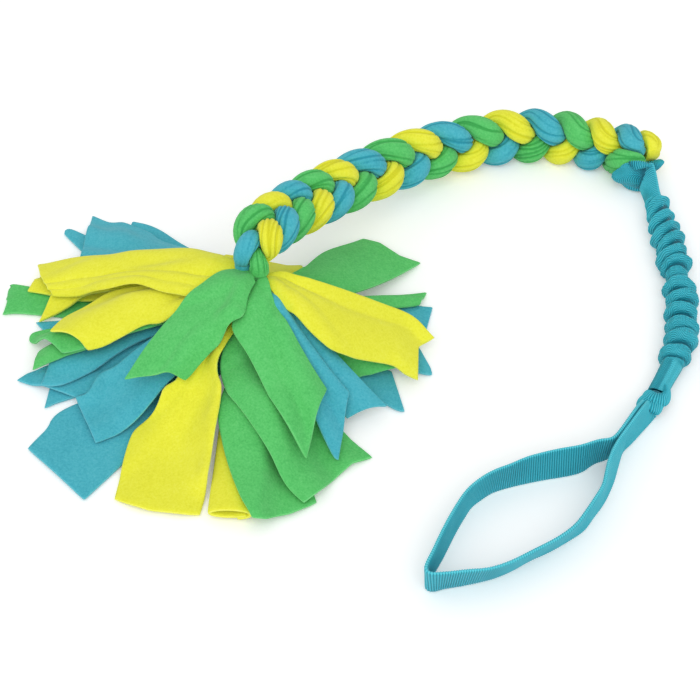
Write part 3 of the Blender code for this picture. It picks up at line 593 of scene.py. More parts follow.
class Pile:
    def __init__(self):
        self.cell = 0.0008
        self.half = 0.165
        self.count = int(2 * self.half / self.cell) + 1
        side = np.linspace(-self.half, self.half, self.count)
        x, y = np.meshgrid(side, side, indexing="ij")
        radius = self.spread = np.hypot(x, y)
        slope = (pom["coreWaist"] - pom["coreShoulder"]) / (pom["coreRadius"] - pom["coreNeckRadius"])
        cone = pom["coreShoulder"] + (pom["coreRadius"] - radius) * slope
        self.top = np.where(radius < pom["coreRadius"] - self.cell, np.clip(cone, 0, pom["coreWaist"]), 0.0)

    def index(self, x, y):
        i = np.clip(np.rint((x + self.half) / self.cell).astype(int), 1, self.count - 2)
        j = np.clip(np.rint((y + self.half) / self.cell).astype(int), 1, self.count - 2)
        return i, j

    def height(self, x, y):
        return self.top[self.index(x, y)]

    def add(self, x, y, z, rank):
        i, j = self.index(x.ravel(), y.ravel())
        for di in (-1, 0, 1):
            for dj in (-1, 0, 1):
                np.maximum.at(self.top, (i + di, j + dj), z.ravel())
        self.top = np.minimum(self.top, crownAt(self.spread, rank))


def finer(grid, times):
    # The same sheet with more rows and columns between those it has
    rows, cols = grid.shape
    r = np.linspace(0, rows - 1, (rows - 1) * times + 1)
    c = np.linspace(0, cols - 1, (cols - 1) * times + 1)
    i = np.minimum(r.astype(int), rows - 2)
    j = np.minimum(c.astype(int), cols - 2)
    u, v = (r - i)[:, None], (c - j)[None, :]
    a, b = grid[np.ix_(i, j)], grid[np.ix_(i + 1, j)]
    d, e = grid[np.ix_(i, j + 1)], grid[np.ix_(i + 1, j + 1)]
    return (a * (1 - u) + b * u) * (1 - v) + (d * (1 - u) + e * u) * v


def tailPlan(spec, startBearing, startRadius):
    distance, bearing, heading, slant, share = spec[1:6]
    bearing, heading, startBearing = (math.radians(v) for v in (bearing, heading, startBearing))
    tip = np.array([math.cos(bearing), math.sin(bearing)]) * distance
    out = np.array([math.cos(startBearing), math.sin(startBearing)])
    aim = np.array([math.cos(heading), math.sin(heading)])
    start = out * startRadius
    pull = np.linalg.norm(tip - start) / 3
    p0, p1, p2, p3 = start, start + out * pull, tip - aim * pull, tip
    count = 200
    u = np.linspace(0, 1, count)[:, None]
    line = (1 - u) ** 3 * p0 + 3 * (1 - u) ** 2 * u * p1 + 3 * (1 - u) * u ** 2 * p2 + u ** 3 * p3
    beyond = tip + aim * np.linspace(0.001, abs(slant) / 2 + 0.002, 30)[:, None]
    line = np.concatenate([line, beyond])
    along = lengthAlong(line)
    length = along[count - 1]
    tangent = unit(np.gradient(line, axis=0))
    left = np.stack([-tangent[:, 1], tangent[:, 0]], axis=1)

    def place(rows, cols):
        s = length * rows + cols * slant / 2 * rows ** 1.5
        half = pom["boundWidth"] / 2 + (pom["stripWidth"] * share - pom["boundWidth"]) / 2 * smoothstep(
            length * rows / (2.2 * pom["gatherLength"]) + 0.04)
        x = np.interp(s, along, line[:, 0]) + np.interp(s, along, left[:, 0]) * half * cols
        y = np.interp(s, along, line[:, 1]) + np.interp(s, along, left[:, 1]) * half * cols
        return x, y

    return place, length


def edgeGrid(number, x, y, z, rows, r, c):
    # Lays a tail between its two edges: their pixels are met at the height that the tail has there
    ends = []
    for edge, col in zip(tailEdges[number], (0, -1)):
        edge = np.array(edge, float)
        spots = np.array([[x[0, col], y[0, col]]] + [fromPhoto(*p, z[-1, col]) for p in edge])
        for _ in range(3):
            along = lengthAlong(spots)
            high = np.interp(along[1:] / along[-1], rows, z[:, col])
            spots[1:] = np.stack(fromPhoto(edge[:, 0], edge[:, 1], high), axis=1)
        route, _ = smoothRoute(spots, 200)
        ends.append(valuesAt(rows, np.linspace(0, 1, len(route)), route))
    share = (c[..., None] + 1) / 2
    grid = ends[0][:, None, :] * (1 - share) + ends[1][:, None, :] * share
    if number in tailCuts:
        cut = np.array(tailCuts[number], float)
        along = lengthAlong(cut)
        at = (c[-1] + 1) / 2 * along[-1]
        end = fromPhoto(np.interp(at, along, cut[:, 0]), np.interp(at, along, cut[:, 1]), z[-1])
        grid = grid + (np.stack(end, axis=1) - grid[-1])[None] * smoothstep((r - 0.7) / 0.3)[..., None]
    return grid[..., 0], grid[..., 1]


def drape(x, y, free, pile, steps=200):
    # Lets a sheet down on the pile: it sags between the places that hold it up
    times = 3        # the pile is looked at on a grid this much finer than the sheet's
    need = pile.height(finer(x, times), finer(y, times))
    need = np.where(need > 0, need + pom["plyGap"], 0.0)
    wide = np.pad(need, times, mode="edge")
    rows, cols = x.shape
    floorZ = np.zeros((rows, cols))
    for i in range(2 * times + 1):
        for j in range(2 * times + 1):
            if abs(i - times) + abs(j - times) <= times + 1:
                near = wide[i:i + (rows - 1) * times + 1:times, j:j + (cols - 1) * times + 1:times]
                floorZ = np.maximum(floorZ, near)
    wide = np.pad(floorZ, 1, mode="edge")
    stiff = np.max([wide[i:i + rows, j:j + cols] for i in range(3) for j in range(3)], axis=0)
    for _ in range(pom["stiffness"]):
        wide = np.pad(stiff, 1, mode="edge")
        stiff = (wide[:-2, 1:-1] + wide[2:, 1:-1] + wide[1:-1, :-2] + wide[1:-1, 2:] + 2 * stiff) / 6
    lowest = np.maximum(np.maximum(floorZ, np.where(floorZ > 0, stiff, 0)), free)
    z = lowest.copy()
    for _ in range(steps):
        ring = np.pad(z, 1, mode="edge")
        ring[0, 1:-1] = 2 * z[0] - z[1]
        even = (ring[:-2, 1:-1] * 1.0 + ring[2:, 1:-1] * 1.0
                + ring[1:-1, :-2] * 1.6 + ring[1:-1, 2:] * 1.6) / 5.2
        z[1:] = np.maximum(lowest, even - pom["sag"])[1:]
    return z


def tailHeights(rank, spec, length, r, c, rise, chance):
    free = rise * (1 - smoothstep(r * length / (pom["landing"] * spec[6])))
    folds = np.array(tailFolds.get(rank + 1, (0, 0, 0)), float)
    folds = softCurve(np.linspace(-1, 1, len(folds)), folds, c.ravel()).reshape(c.shape)
    depth = smoothstep(r * 4) * (1 - 0.45 * r)
    s = r * length
    phase = chance.uniform(0, 2 * math.pi)
    pleat = pom["pleatDepth"] * (1 - smoothstep(s / pom["pleatLength"])) * smoothstep(s / 0.004)
    gather = pleat * (0.5 + 0.5 * np.sin(math.pi * pom["pleats"] * (c + 1) + phase))
    wave = chance.uniform(0.0001, 0.0004) * (0.5 + 0.5 * np.sin(
        2 * math.pi * (s / chance.uniform(0.035, 0.06) + c * chance.uniform(-0.25, 0.25))
        + chance.uniform(0, 6)))
    arch = chance.uniform(0.0002, 0.0010) * (1 - c ** 2)
    return free, depth * folds + gather + (wave + arch) * smoothstep(r * 3)


def buildTail(rank, spec, startBearing, pile, chance):
    rise = pom["headLow"] + (pom["headHigh"] - pom["headLow"]) * rank / (len(tails) - 1)
    place, length = tailPlan(spec, startBearing, coreRadiusAt(rise) + clearance)
    rows = (np.arange(pom["rings"]) / (pom["rings"] - 1)) ** 1.2
    cols = np.linspace(-1, 1, pom["across"])
    r, c = np.meshgrid(rows, cols, indexing="ij")
    x, y = place(r, c)
    free, folds = tailHeights(rank, spec, length, r, c, rise, chance)

    def settled(steps):
        cap = crownAt(np.hypot(x, y), rank) - pom["stripThickness"]
        return np.minimum(drape(x, y, free, pile, steps), cap) + folds

    if rank + 1 in tailEdges:
        z = settled(80)
        for _ in range(5):
            x, y = edgeGrid(rank + 1, x, y, z + pom["stripThickness"], rows, r, c)
            z = (z + settled(80)) / 2
        x, y = edgeGrid(rank + 1, x, y, z + pom["stripThickness"], rows, r, c)
    z = settled(200)
    inward = coreRadiusAt(z[0].mean()) + clearance - coreRadiusAt(rise) - clearance
    fade = (1 - smoothstep(r * length / 0.008))
    x = x + inward * math.cos(math.radians(startBearing)) * fade
    y = y + inward * math.sin(math.radians(startBearing)) * fade
    return x, y, z, length


def spanOf(x, y, z):
    # A draped strip's mean width and its length along the middle
    points = np.stack([x, y, z], axis=2)
    a, b = np.diff(points, axis=0)[:, :-1], np.diff(points, axis=1)[:-1]
    area = np.linalg.norm(np.cross(a, b), axis=2).sum()
    length = np.linalg.norm(np.diff(points[:, points.shape[1] // 2], axis=0), axis=1).sum()
    return float(area / length), float(length)


def layTails():
    pile = Pile()
    chance = np.random.default_rng(pom["seed"])
    order = sorted(range(len(tails)), key=lambda i: tails[i][2] % 360)
    even = {i: 360.0 * (n + 0.5) / len(tails) for n, i in enumerate(order)}
    for rank, spec in enumerate(tails):
        turn = (even[rank] - spec[2] + 180) % 360 - 180
        startBearing = spec[2] + pom["spread"] * turn
        x, y, z, length = buildTail(rank, spec, startBearing, pile, chance)
        node = "tail_%02d_%s" % (rank + 1, spec[0])
        rolled = rank + 1 == rolledTail
        piece, top = (rolledPiece if rolled else flatPiece)(node + "_strip", x, y, z, spec)
        pile.add(finer(x, 4), finer(y, 4), finer(top, 4), rank)
        width, length = (pom["stripWidth"], length) if rolled else spanOf(x, y, z)
        fasten(piece, "pom", node, "fleece_" + spec[0])
    print("tails laid:", len(tails))


def thicken(piece, offset):
    thick = piece.modifiers.new("thickness", "SOLIDIFY")
    thick.thickness = pom["stripThickness"]
    thick.offset = offset
    thick.material_offset_rim = 1
    thick.edge_crease_rim = 0.7
    soft = piece.modifiers.new("soft", "SUBSURF")
    soft.levels = soft.render_levels = 1


def flatPiece(name, x, y, z, spec):
    rows, cols = x.shape
    z = np.maximum(z, pom["lowest"])
    points = np.stack([x, y, z], axis=2).reshape(-1, 3)
    piece = makePiece(name, points, gridFaces(rows, cols), [looks[spec[0]], looks[spec[0] + "Edge"]])
    if piece.data.polygons[len(piece.data.polygons) // 2].normal.z < 0:
        piece.data.flip_normals()
    thicken(piece, 1.0)
    steep = np.abs(np.gradient(z, axis=0)) / np.maximum(
        np.hypot(np.gradient(x, axis=0), np.gradient(y, axis=0)), 1e-6)
    return piece, z + pom["stripThickness"] * np.sqrt(1 + np.minimum(steep, 1.5) ** 2)


roll = {
    "height": 0.0088,
    "turns": 1.12,
    "lap": 0.0016,       # how far the inner end lies in from the outer one
    "open": 250,         # where the outer end is, in degrees round the section
    "cols": 41,
}


def rolledPiece(name, x, y, z, spec):
    # A tail curled up lengthwise: its section is a flattened spiral
    rows, cols = x.shape[0], roll["cols"]
    mid = x.shape[1] // 2
    points = np.zeros((rows, cols, 3))
    top = z.copy()
    for i in range(rows):
        middle = np.array([x[i, mid], y[i, mid], 0])
        half = np.array([x[i, -1] - x[i, 0], y[i, -1] - y[i, 0], 0]) / 2
        wide = np.linalg.norm(half)
        share = smoothstep(i / (rows - 1) * 1.8)
        tall = max(pom["stripThickness"], roll["height"] * share) / 2
        base = z[i].mean()
        for j in range(cols):
            t = j / (cols - 1)
            turn = math.radians(roll["open"]) - 2 * math.pi * roll["turns"] * t
            inside = 1 - t * roll["lap"] / wide
            points[i, j] = middle + half * inside * math.cos(turn) * -1
            deep = tall - pom["stripThickness"] / 2 - t * roll["lap"] * share
            points[i, j, 2] = base + tall + deep * math.sin(turn) * share
        top[i] = base + tall * 2
    piece = makePiece(name, points.reshape(-1, 3), gridFaces(rows, cols),
                      [looks[spec[0]], looks[spec[0] + "Edge"]])
    thicken(piece, 0.0)
    return piece, top


layTails()


# The bound core, wrapped in gathered fleece

coreWrap = {
    "pleats": 13,
    "depth": 0.0009,
    "twist": 14,         # how far the row of pleats shifts up the core, in radians of one pleat a metre
    "around": 104,
    "rings": 26,
    "height": 0.0500,
}


def buildCore(s):
    heights = np.linspace(0, s["height"], s["rings"])
    turns = np.linspace(0, 2 * math.pi, s["around"], endpoint=False)
    points = []
    for h in heights:
        radius = coreRadiusAt(h) - clearance
        fold = s["depth"] * radius / pom["coreRadius"] * (
            0.5 + 0.5 * np.cos(s["pleats"] * turns + s["twist"] * h))
        points.append(np.stack([(radius - fold) * np.cos(turns), (radius - fold) * np.sin(turns),
                                np.full_like(turns, h)], axis=1))
    points = np.concatenate(points)
    faces = gridFaces(s["rings"], s["around"], closed=True)
    fanEnds(faces, s["rings"], s["around"], len(points), len(points) + 1)
    points = np.concatenate([points, [[0, 0, 0], [0, 0, s["height"]]]])
    piece = makePiece("bound_core_wrap", points, faces, [looks["green"]])
    faceOutward(piece)
    fasten(piece, "pom", "bound_core", "fleece_core")
    print("core wrapped")


buildCore(coreWrap)


# The plait

plait = {
    "strandRadius": 0.0061,        # where a strand turns back at the plait's edge
    "lobeRadius": 0.0074,          # where it shows
    "hiddenRadius": 0.0050,        # where it runs under the others
    "strandGap": 0.0003,
    "halfWidth": 0.0081,
    "zigzag": 0.07,                # how much straighter than a wave each strand crosses
    "halfDepth": 0.0051,
    # Where along the plait the blue strand comes back to the same side, and the others between
    "blueTurns": (0.0000, 0.0405, 0.1120, 0.1755, 0.2305, 0.2775, 0.3225),
    "steps": 320,
    "sides": 60,
    "neckLength": 0.016,
    "neckShare": 0.68,             # how wide the plait is at the pom
    "rootLength": 0.0046,
    "overCore": 0.009,             # this near the pom's middle the strands stay above the wrapped core
    "sunk": 0.0005,                # but for this much
    "bendShare": 0.75,             # how much of the way to the middle of its bend a strand may fill
    "nearby": 0.0244,              # how far off a neighbour's line can still press on a strand
    "tries": 13,                   # to find how far out each place may lie
    "creases": 13,             # grooves round each strand, where its fleece is rolled up
    "creaseDepth": 0.0007,
    "creaseWidth": 0.085,
    "creaseSides": 128,
    "creaseEnds": 0.03,        # the share of its length over which they start and end
    "seeds": {"blue": 3, "green": 5, "yellow": 9},
    "route": (
        (0.0000, 0.0032, 0.0545), (0.0000, 0.0040, 0.0568), (0.0010, 0.0096, 0.0608),
        (0.0052, 0.0190, 0.0600), (0.0125, 0.0330, 0.0550), (0.0290, 0.0580, 0.0455),
        (0.0430, 0.0775, 0.0375), (0.0625, 0.1000, 0.0290), (0.0840, 0.1220, 0.0205),
        (0.1060, 0.1360, 0.0152), (0.1325, 0.1455, 0.0131), (0.1610, 0.1448, 0.0124),
        (0.1850, 0.1362, 0.0128), (0.2000, 0.1285, 0.0148), (0.2052, 0.1190, 0.0178),
    ),
    # How far the plait is rolled onto its edge, in degrees, by its length so far
    "roll": ((0.0, 0), (0.04, 12), (0.09, 42), (0.14, 62), (0.20, 76), (0.26, 80), (0.29, 78)),
    "blueEnd": 0.2860,
}
hitch = {
    "place": (0.1992, 0.1222),
    "pinRadius": 0.0064,
    "gap": 0.0007,             # between the fleece and the ring of webbing round it
    "foot": 0.0010,
    "height": 0.0075,
    "wall": 0.0030,
    # How far past the pin other fleece may come, and how far it stays off the ring's outside and top
    "keepOut": (0.0004, 0.0015, 0.0010),
}
strandEnds = {
    "green": (0.268, (
        (0.1885, 0.1240, 0.0140), (0.1938, 0.1214, 0.0172),
        (hitch["place"][0] - 0.0008, hitch["place"][1], 0.0150),
        (*hitch["place"], hitch["foot"] + 0.6 * hitch["height"]),
        (*hitch["place"], hitch["foot"]),
    )),
    "yellow": (0.272, (
        (0.1985, 0.1348, 0.0150), (0.2032, 0.1305, 0.0178), (0.2056, 0.1240, 0.0165),
    )),
}


def plaitLine(s):
    route, length = smoothRoute(s["route"], 260)
    along = np.linspace(0, length, len(route))
    tangent = unit(np.gradient(route, axis=0))
    flat = tangent[:, :2] / np.maximum(np.linalg.norm(tangent[:, :2], axis=1), 1e-9)[:, None]
    upright = np.linalg.norm(tangent[:, :2], axis=1) < 0.5
    flat[upright] = flat[~upright][0]
    side = np.stack([-flat[:, 1], flat[:, 0], np.zeros(len(flat))], axis=1)
    up = np.cross(tangent, side)
    places, angles = zip(*s["roll"])
    rolled = np.radians(np.interp(along, places, angles))[:, None]
    side, up = side * np.cos(rolled) + up * np.sin(rolled), up * np.cos(rolled) - side * np.sin(rolled)
    return route, along, side, up, smoothstep(along / s["neckLength"])


def smoothTurns(along, marks):
    marks = np.array(marks)
    count = np.arange(len(marks))
    rate = np.gradient(count, marks)
    fine = np.linspace(marks[0], marks[-1], 400)
    speed = np.interp(fine, marks, rate)
    total = np.concatenate([[0], np.cumsum((speed[1:] + speed[:-1]) / 2 * np.diff(fine))])
    total *= count[-1] / total[-1]
    return np.interp(along, fine, total)


def plaitStrands(s):
    route, along, side, up, swell = plaitLine(s)
    scale = s["neckShare"] + (1 - s["neckShare"]) * swell
    turns = smoothTurns(along, s["blueTurns"])
    strands = {}
    for name, turn in (("blue", 0), ("green", -120), ("yellow", -240)):
        phase = np.radians(90 + turn) + 2 * math.pi * turns
        wide = s["halfWidth"] * (np.sin(phase) - s["zigzag"] * np.sin(3 * phase)) * scale
        deep = -s["halfDepth"] * np.sin(2 * phase) * scale
        middle = route + side * wide[:, None] + up * deep[:, None]
        shown = -np.sin(2 * phase)
        over = s["strandRadius"] + (s["lobeRadius"] - s["strandRadius"]) * shown
        under = s["strandRadius"] + (s["strandRadius"] - s["hiddenRadius"]) * shown
        radius = scale * np.where(shown > 0, over, under)
        if name in strandEnds:
            leave, points = strandEnds[name]
            keep = along < leave
            end, _ = smoothRoute([middle[keep][-8], middle[keep][-1], *points], 60)
            end = end[np.linalg.norm(end - middle[keep][-8], axis=1) > np.linalg.norm(
                middle[keep][-1] - middle[keep][-8])]
            middle = np.concatenate([middle[keep], end])
            share = np.linspace(0, 1, len(end))
            if name == "green":
                last = s["strandRadius"] + (hitch["pinRadius"] - s["strandRadius"]) * smoothstep(share * 1.6)
            else:
                last = s["lobeRadius"] * (0.75 + 0.35 * smoothstep(share * 3))
                last = last * (0.6 + 0.4 * smoothstep((1 - share) * 4))
            radius = np.concatenate([radius[keep], last])
            sideways = np.concatenate([side[keep], np.repeat(side[keep][-1:], len(end), axis=0)])
        else:
            keep = along < s["blueEnd"]
            middle, sideways = middle[keep], side[keep]
            radius = radius[keep] * (0.55 + 0.45 * smoothstep((s["blueEnd"] - along[keep]) / 0.004))
        # Each strand runs on down a little, into the crown of the pom
        down = np.linspace(s["rootLength"], 0.0008, 6)[:, None] * np.array([0, 0, -1.0])
        middle = np.concatenate([middle[0] + down, middle])
        radius = np.concatenate([np.full(6, radius[0]), radius])
        sideways = np.concatenate([np.repeat(sideways[:1], 6, axis=0), sideways])
        strands[name] = (middle, radius, sideways)
    return strands


def inHitch(spots):
    out = np.hypot(spots[:, 0] - hitch["place"][0], spots[:, 1] - hitch["place"][1])
    inside, outside, above = hitch["keepOut"]
    outer = hitch["pinRadius"] + hitch["gap"] + hitch["wall"] + outside
    beside = (out > hitch["pinRadius"] + inside) & (out < outer)
    return beside & (spots[:, 2] < hitch["foot"] + hitch["height"] + above)


def blur(values, along, around):
    # Evens out a map of radii: along the strand, and round it
    for _ in range(along):
        wide = np.pad(values, ((1, 1), (0, 0)), mode="edge")
        values = (wide[:-2] + 2 * values + wide[2:]) / 4
    for _ in range(around):
        values = (np.roll(values, 1, axis=1) + 2 * values + np.roll(values, -1, axis=1)) / 4
    return values


def pressedStrand(middle, radius, others, sideways, s):
    # Rings round a strand, held back where a neighbour presses on it
    count, sides = s["steps"], s["sides"]
    at = np.linspace(0, len(middle) - 1, count)
    index = np.arange(len(middle))
    middle, sideways = valuesAt(at, index, middle), valuesAt(at, index, sideways)
    radius = np.interp(at, index, radius)
    step = np.linalg.norm(np.gradient(middle, axis=0), axis=1)[:, None]
    tangent = unit(np.gradient(middle, axis=0))
    tangent[0] = (0, 0, 1)
    bend = np.gradient(tangent, axis=0) / step
    across = unit(sideways - tangent * (sideways * tangent).sum(1)[:, None])
    over = np.cross(tangent, across)
    turns = evenTurns(sides, 0.5)
    reachMap = np.zeros((count, sides))
    ways = across[:, None, :] * np.cos(turns)[:, None] + over[:, None, :] * np.sin(turns)[:, None]
    overCore = np.hypot(middle[:, 0], middle[:, 1]) < s["overCore"]
    foot = np.where(overCore, coreWrap["height"] - s["sunk"], 0.0)
    for k in range(count):
        near = others[np.linalg.norm(others - middle[k], axis=1) < s["nearby"]]
        inward = ways[k] @ bend[k]
        bendLimit = s["bendShare"] / np.maximum(inward, 1e-6)
        high = np.where(inward > 0, np.minimum(radius[k], bendLimit), radius[k])
        low = np.zeros(sides)
        for attempt in range(s["tries"]):
            reach = (low + high) / 2 if attempt else high.copy()
            spots = middle[k] + ways[k] * reach[:, None]
            apart = np.ones(sides)
            if len(near):
                apart = np.linalg.norm(near[None] - spots[:, None], axis=2).min(1)
            fits = (apart - reach >= s["strandGap"]) & (spots[:, 2] > foot[k]) & ~inHitch(spots)
            low = np.where(fits, reach, low)
            high = np.where(fits, high, reach)
        reachMap[k] = low
    return middle, ways, reachMap, turns


def buildStrand(name, strands, s):
    middle, radius, sideways = strands[name]
    others = np.concatenate([v[0] for k, v in strands.items() if k != name])
    middle, ways, reach, turns = pressedStrand(middle, radius, others, sideways, s)
    full = blur(reach, 3, 1)
    # The creases are finer than the rings' own places
    sides = s["creaseSides"]
    fineTurns = evenTurns(sides, 0.5)

    def around(ring):
        return np.interp(fineTurns, turns, ring, period=2 * math.pi)

    full = np.stack([around(ring) for ring in full])
    ways = unit(np.stack([np.stack([around(ring[:, k]) for k in range(3)], axis=1) for ring in ways]))
    chance = np.random.default_rng(s["seeds"][name])
    run = np.linspace(0, 1, s["steps"])[:, None]
    crease = np.zeros_like(full)
    for n in range(s["creases"]):
        base = 2 * math.pi * (n + chance.uniform(-0.25, 0.25)) / s["creases"]
        drift = sum(chance.uniform(0.1, 0.35) * np.sin(2 * math.pi * (run * f + chance.uniform()))
                    for f in (2, 5, 9))
        depth = 0.55 + 0.45 * np.sin(2 * math.pi * (run * chance.uniform(5, 9) + chance.uniform()))
        apart = (fineTurns[None, :] - base - drift + math.pi) % (2 * math.pi) - math.pi
        crease += depth * np.exp(-(apart / s["creaseWidth"]) ** 2)
    crease = np.clip(crease, 0, 1)
    ends = smoothstep(run / s["creaseEnds"]) * smoothstep((1 - run) / s["creaseEnds"])
    shaped = full - crease * ends * s["creaseDepth"]
    points = (middle[:, None, :] + ways * shaped[:, :, None]).reshape(-1, 3)
    faces = gridFaces(s["steps"], sides, closed=True)
    fanEnds(faces, s["steps"], sides, len(points), len(points) + 1)
    points = np.concatenate([points, [middle[0], middle[-1]]])
    points[:, 2] = np.maximum(points[:, 2], clearance)
    shade = np.concatenate([(crease * ends).ravel(), [0, 0]])
    piece = makePiece("plait_" + name, points, faces, [looks[name + "Creased"]], {"crease": shade})
    faceOutward(piece)
    fasten(piece, "plait", "strand_" + name, "fleece_" + name)


strands = plaitStrands(plait)
for name in strands:
    buildStrand(name, strands, plait)
print("plait made")


# Webbing: flat straps with ribs across them

def ribTree(look):
    tree = bpy.data.node_groups.new("webbingRibs", "GeometryNodeTree")
    face = tree.interface
    face.new_socket("Geometry", in_out="INPUT", socket_type="NodeSocketGeometry")
    for label in ("Rib Pitch", "Rib Height"):
        face.new_socket(label, in_out="INPUT", socket_type="NodeSocketFloat")
    face.new_socket("Geometry", in_out="OUTPUT", socket_type="NodeSocketGeometry")
    nodes, links = tree.nodes, tree.links

    def add(kind, settings=None, values=None):
        node = nodes.new(kind)
        for key, value in (settings or {}).items():
            setattr(node, key, value)
        for key, value in (values or {}).items():
            if isinstance(value, bpy.types.NodeSocket):
                links.new(value, node.inputs[key])
            else:
                node.inputs[key].default_value = value
        return node

    start = add("NodeGroupInput")
    run = add("GeometryNodeInputNamedAttribute", {"data_type": "FLOAT"}, {"Name": "run"})
    mask = add("GeometryNodeInputNamedAttribute", {"data_type": "FLOAT"}, {"Name": "rib"})

    def maths(operation, *values):
        return add("ShaderNodeMath", {"operation": operation}, dict(enumerate(values))).outputs[0]

    turns = maths("DIVIDE", run.outputs[0], start.outputs["Rib Pitch"])
    wave = maths("SINE", maths("MULTIPLY", turns, 2 * math.pi))
    held = maths("MULTIPLY", maths("MULTIPLY", wave, start.outputs["Rib Height"]), mask.outputs[0])
    normal = add("GeometryNodeInputNormal")
    push = add("ShaderNodeVectorMath", {"operation": "SCALE"}, {0: normal.outputs[0], "Scale": held})
    moved = add("GeometryNodeSetPosition", {},
                {"Geometry": start.outputs["Geometry"], "Offset": push.outputs[0]})
    real = add("GeometryNodeRealizeInstances", {}, {"Geometry": moved.outputs[0]})
    dressed = add("GeometryNodeSetMaterial", {}, {"Geometry": real.outputs[0], "Material": look})
    add("NodeGroupOutput", {}, {0: dressed.outputs[0]})
    return tree


def setInput(modifier, label, value):
    for item in modifier.node_group.interface.items_tree:
        if item.item_type == "SOCKET" and item.in_out == "INPUT" and item.name == label:
            modifier[item.identifier] = value
            return
    raise KeyError(label)


ribs = ribTree(looks["webbing"])


def addRibs(piece, s):
    ribbed = piece.modifiers.new("ribs", "NODES")
    ribbed.node_group = ribs
    setInput(ribbed, "Rib Pitch", s["ribPitch"])
    setInput(ribbed, "Rib Height", s["ribDepth"])
    settle(piece)


def settle(piece):
    # Turns what the modifiers make into a plain mesh
    bpy.context.view_layer.update()
    graph = bpy.context.evaluated_depsgraph_get()
    mesh = bpy.data.meshes.new_from_object(piece.evaluated_get(graph), depsgraph=graph)
    piece.modifiers.clear()
    old = piece.data
    piece.data = mesh
    bpy.data.meshes.remove(old)


def strapSection(width, thickness, count, edgeRib):
    # Places round a strap's section, from its middle: across, outward, and how strongly ribs show
    half, edge = width / 2, thickness / 2
    flat = half - edge
    across = np.linspace(-flat, flat, count)
    bend = (math.pi / 4, math.pi / 2, 3 * math.pi / 4)
    out = [(a, edge, 1.0) for a in across]
    out += [(flat + edge * math.sin(t), edge * math.cos(t), edgeRib) for t in bend]
    out += [(a, -edge, 1.0) for a in across[::-1]]
    out += [(-flat - edge * math.sin(t), -edge * math.cos(t), edgeRib) for t in bend]
    return np.array(out)


def strap(name, line, across, normal, s, width, thickness, count=9):
    # line, across and normal are given at any places; the strap's rings are as fine as its ribs need
    along = lengthAlong(line)
    rings = int(along[-1] / s["ribPitch"] * s["ringsToRib"])
    at = np.linspace(0, along[-1], rings)
    line, across, normal = (valuesAt(at, along, v) for v in (line, across, normal))
    across, normal = unit(across), unit(normal)
    wide = np.interp(at, along, width) if np.ndim(width) else np.full(rings, width)
    section = strapSection(1.0, thickness / wide.mean(), count, s["edgeRib"])
    sideways, outward = section[None, :, 0] * wide[:, None], section[None, :, 1] * wide.mean()
    points = (line[:, None, :] + across[:, None, :] * sideways[:, :, None]
              + normal[:, None, :] * outward[:, :, None])
    n = len(section)
    faces = gridFaces(rings, n, closed=True)
    capEnds(faces, rings, n)
    run = np.repeat(at, n)
    rib = np.tile(section[:, 2], rings)
    selvedge, light = s["selvedge"]
    edge = np.tile(np.where(np.abs(section[:, 0]) > selvedge, light, 0.0), rings)
    piece = makePiece(name, points.reshape(-1, 3), faces, [looks["webbing"]],
                      {"run": run, "across": sideways, "rib": rib, "valley": edge})
    faceOutward(piece)
    addRibs(piece, s)
    return piece, along[-1]


handLoop = {
    "width": 0.0190,
    "thickness": 0.0015,
    "foot": 0.0007,
    "gathered": 0.66,          # share of the width that goes into the knot
    "gatherLength": 0.016,
    "places": (300, 900),      # along the lower edge, and along the upper one
    "evening": (40, 6),        # how often the match between the edges, and the upper edge, are evened out
    # The strap's two edges in the photograph, from the knot round the far leg, the corner and the near leg
    "lower": ((651, 417), (636, 431), (622, 446), (608, 458), (593, 464), (581, 472), (567, 476), (543, 480),
              (523, 484), (506, 488), (491, 493), (480, 500), (470, 508), (462, 520), (454, 534), (447, 548),
              (441, 560), (434, 572), (428, 583), (427, 589), (433, 591), (445, 588), (463, 585), (481, 581),
              (495, 577), (511, 570), (529, 560), (547, 552), (565, 542), (582, 531), (592, 518), (603, 503),
              (612, 484), (617, 466), (621, 453), (630, 444), (642, 431), (655, 417)),
    "upper": ((645, 397), (636, 408), (622, 428), (613, 438), (601, 439), (581, 445), (563, 448), (545, 452),
              (527, 457), (511, 464), (495, 470), (481, 478), (468, 489), (458, 503), (448, 520), (439, 538),
              (433, 551), (427, 562), (424, 569), (426, 573), (437, 573), (451, 572), (469, 570), (485, 569),
              (499, 566), (515, 560), (531, 552), (547, 544), (563, 535), (577, 524), (586, 512), (596, 497),
              (604, 484), (607, 470), (610, 457), (617, 442), (627, 428), (641, 409), (649, 399)),
}
knot = {"place": (0.1942, -0.0465), "radii": (0.0085, 0.0075, 0.0066), "turn": 58}


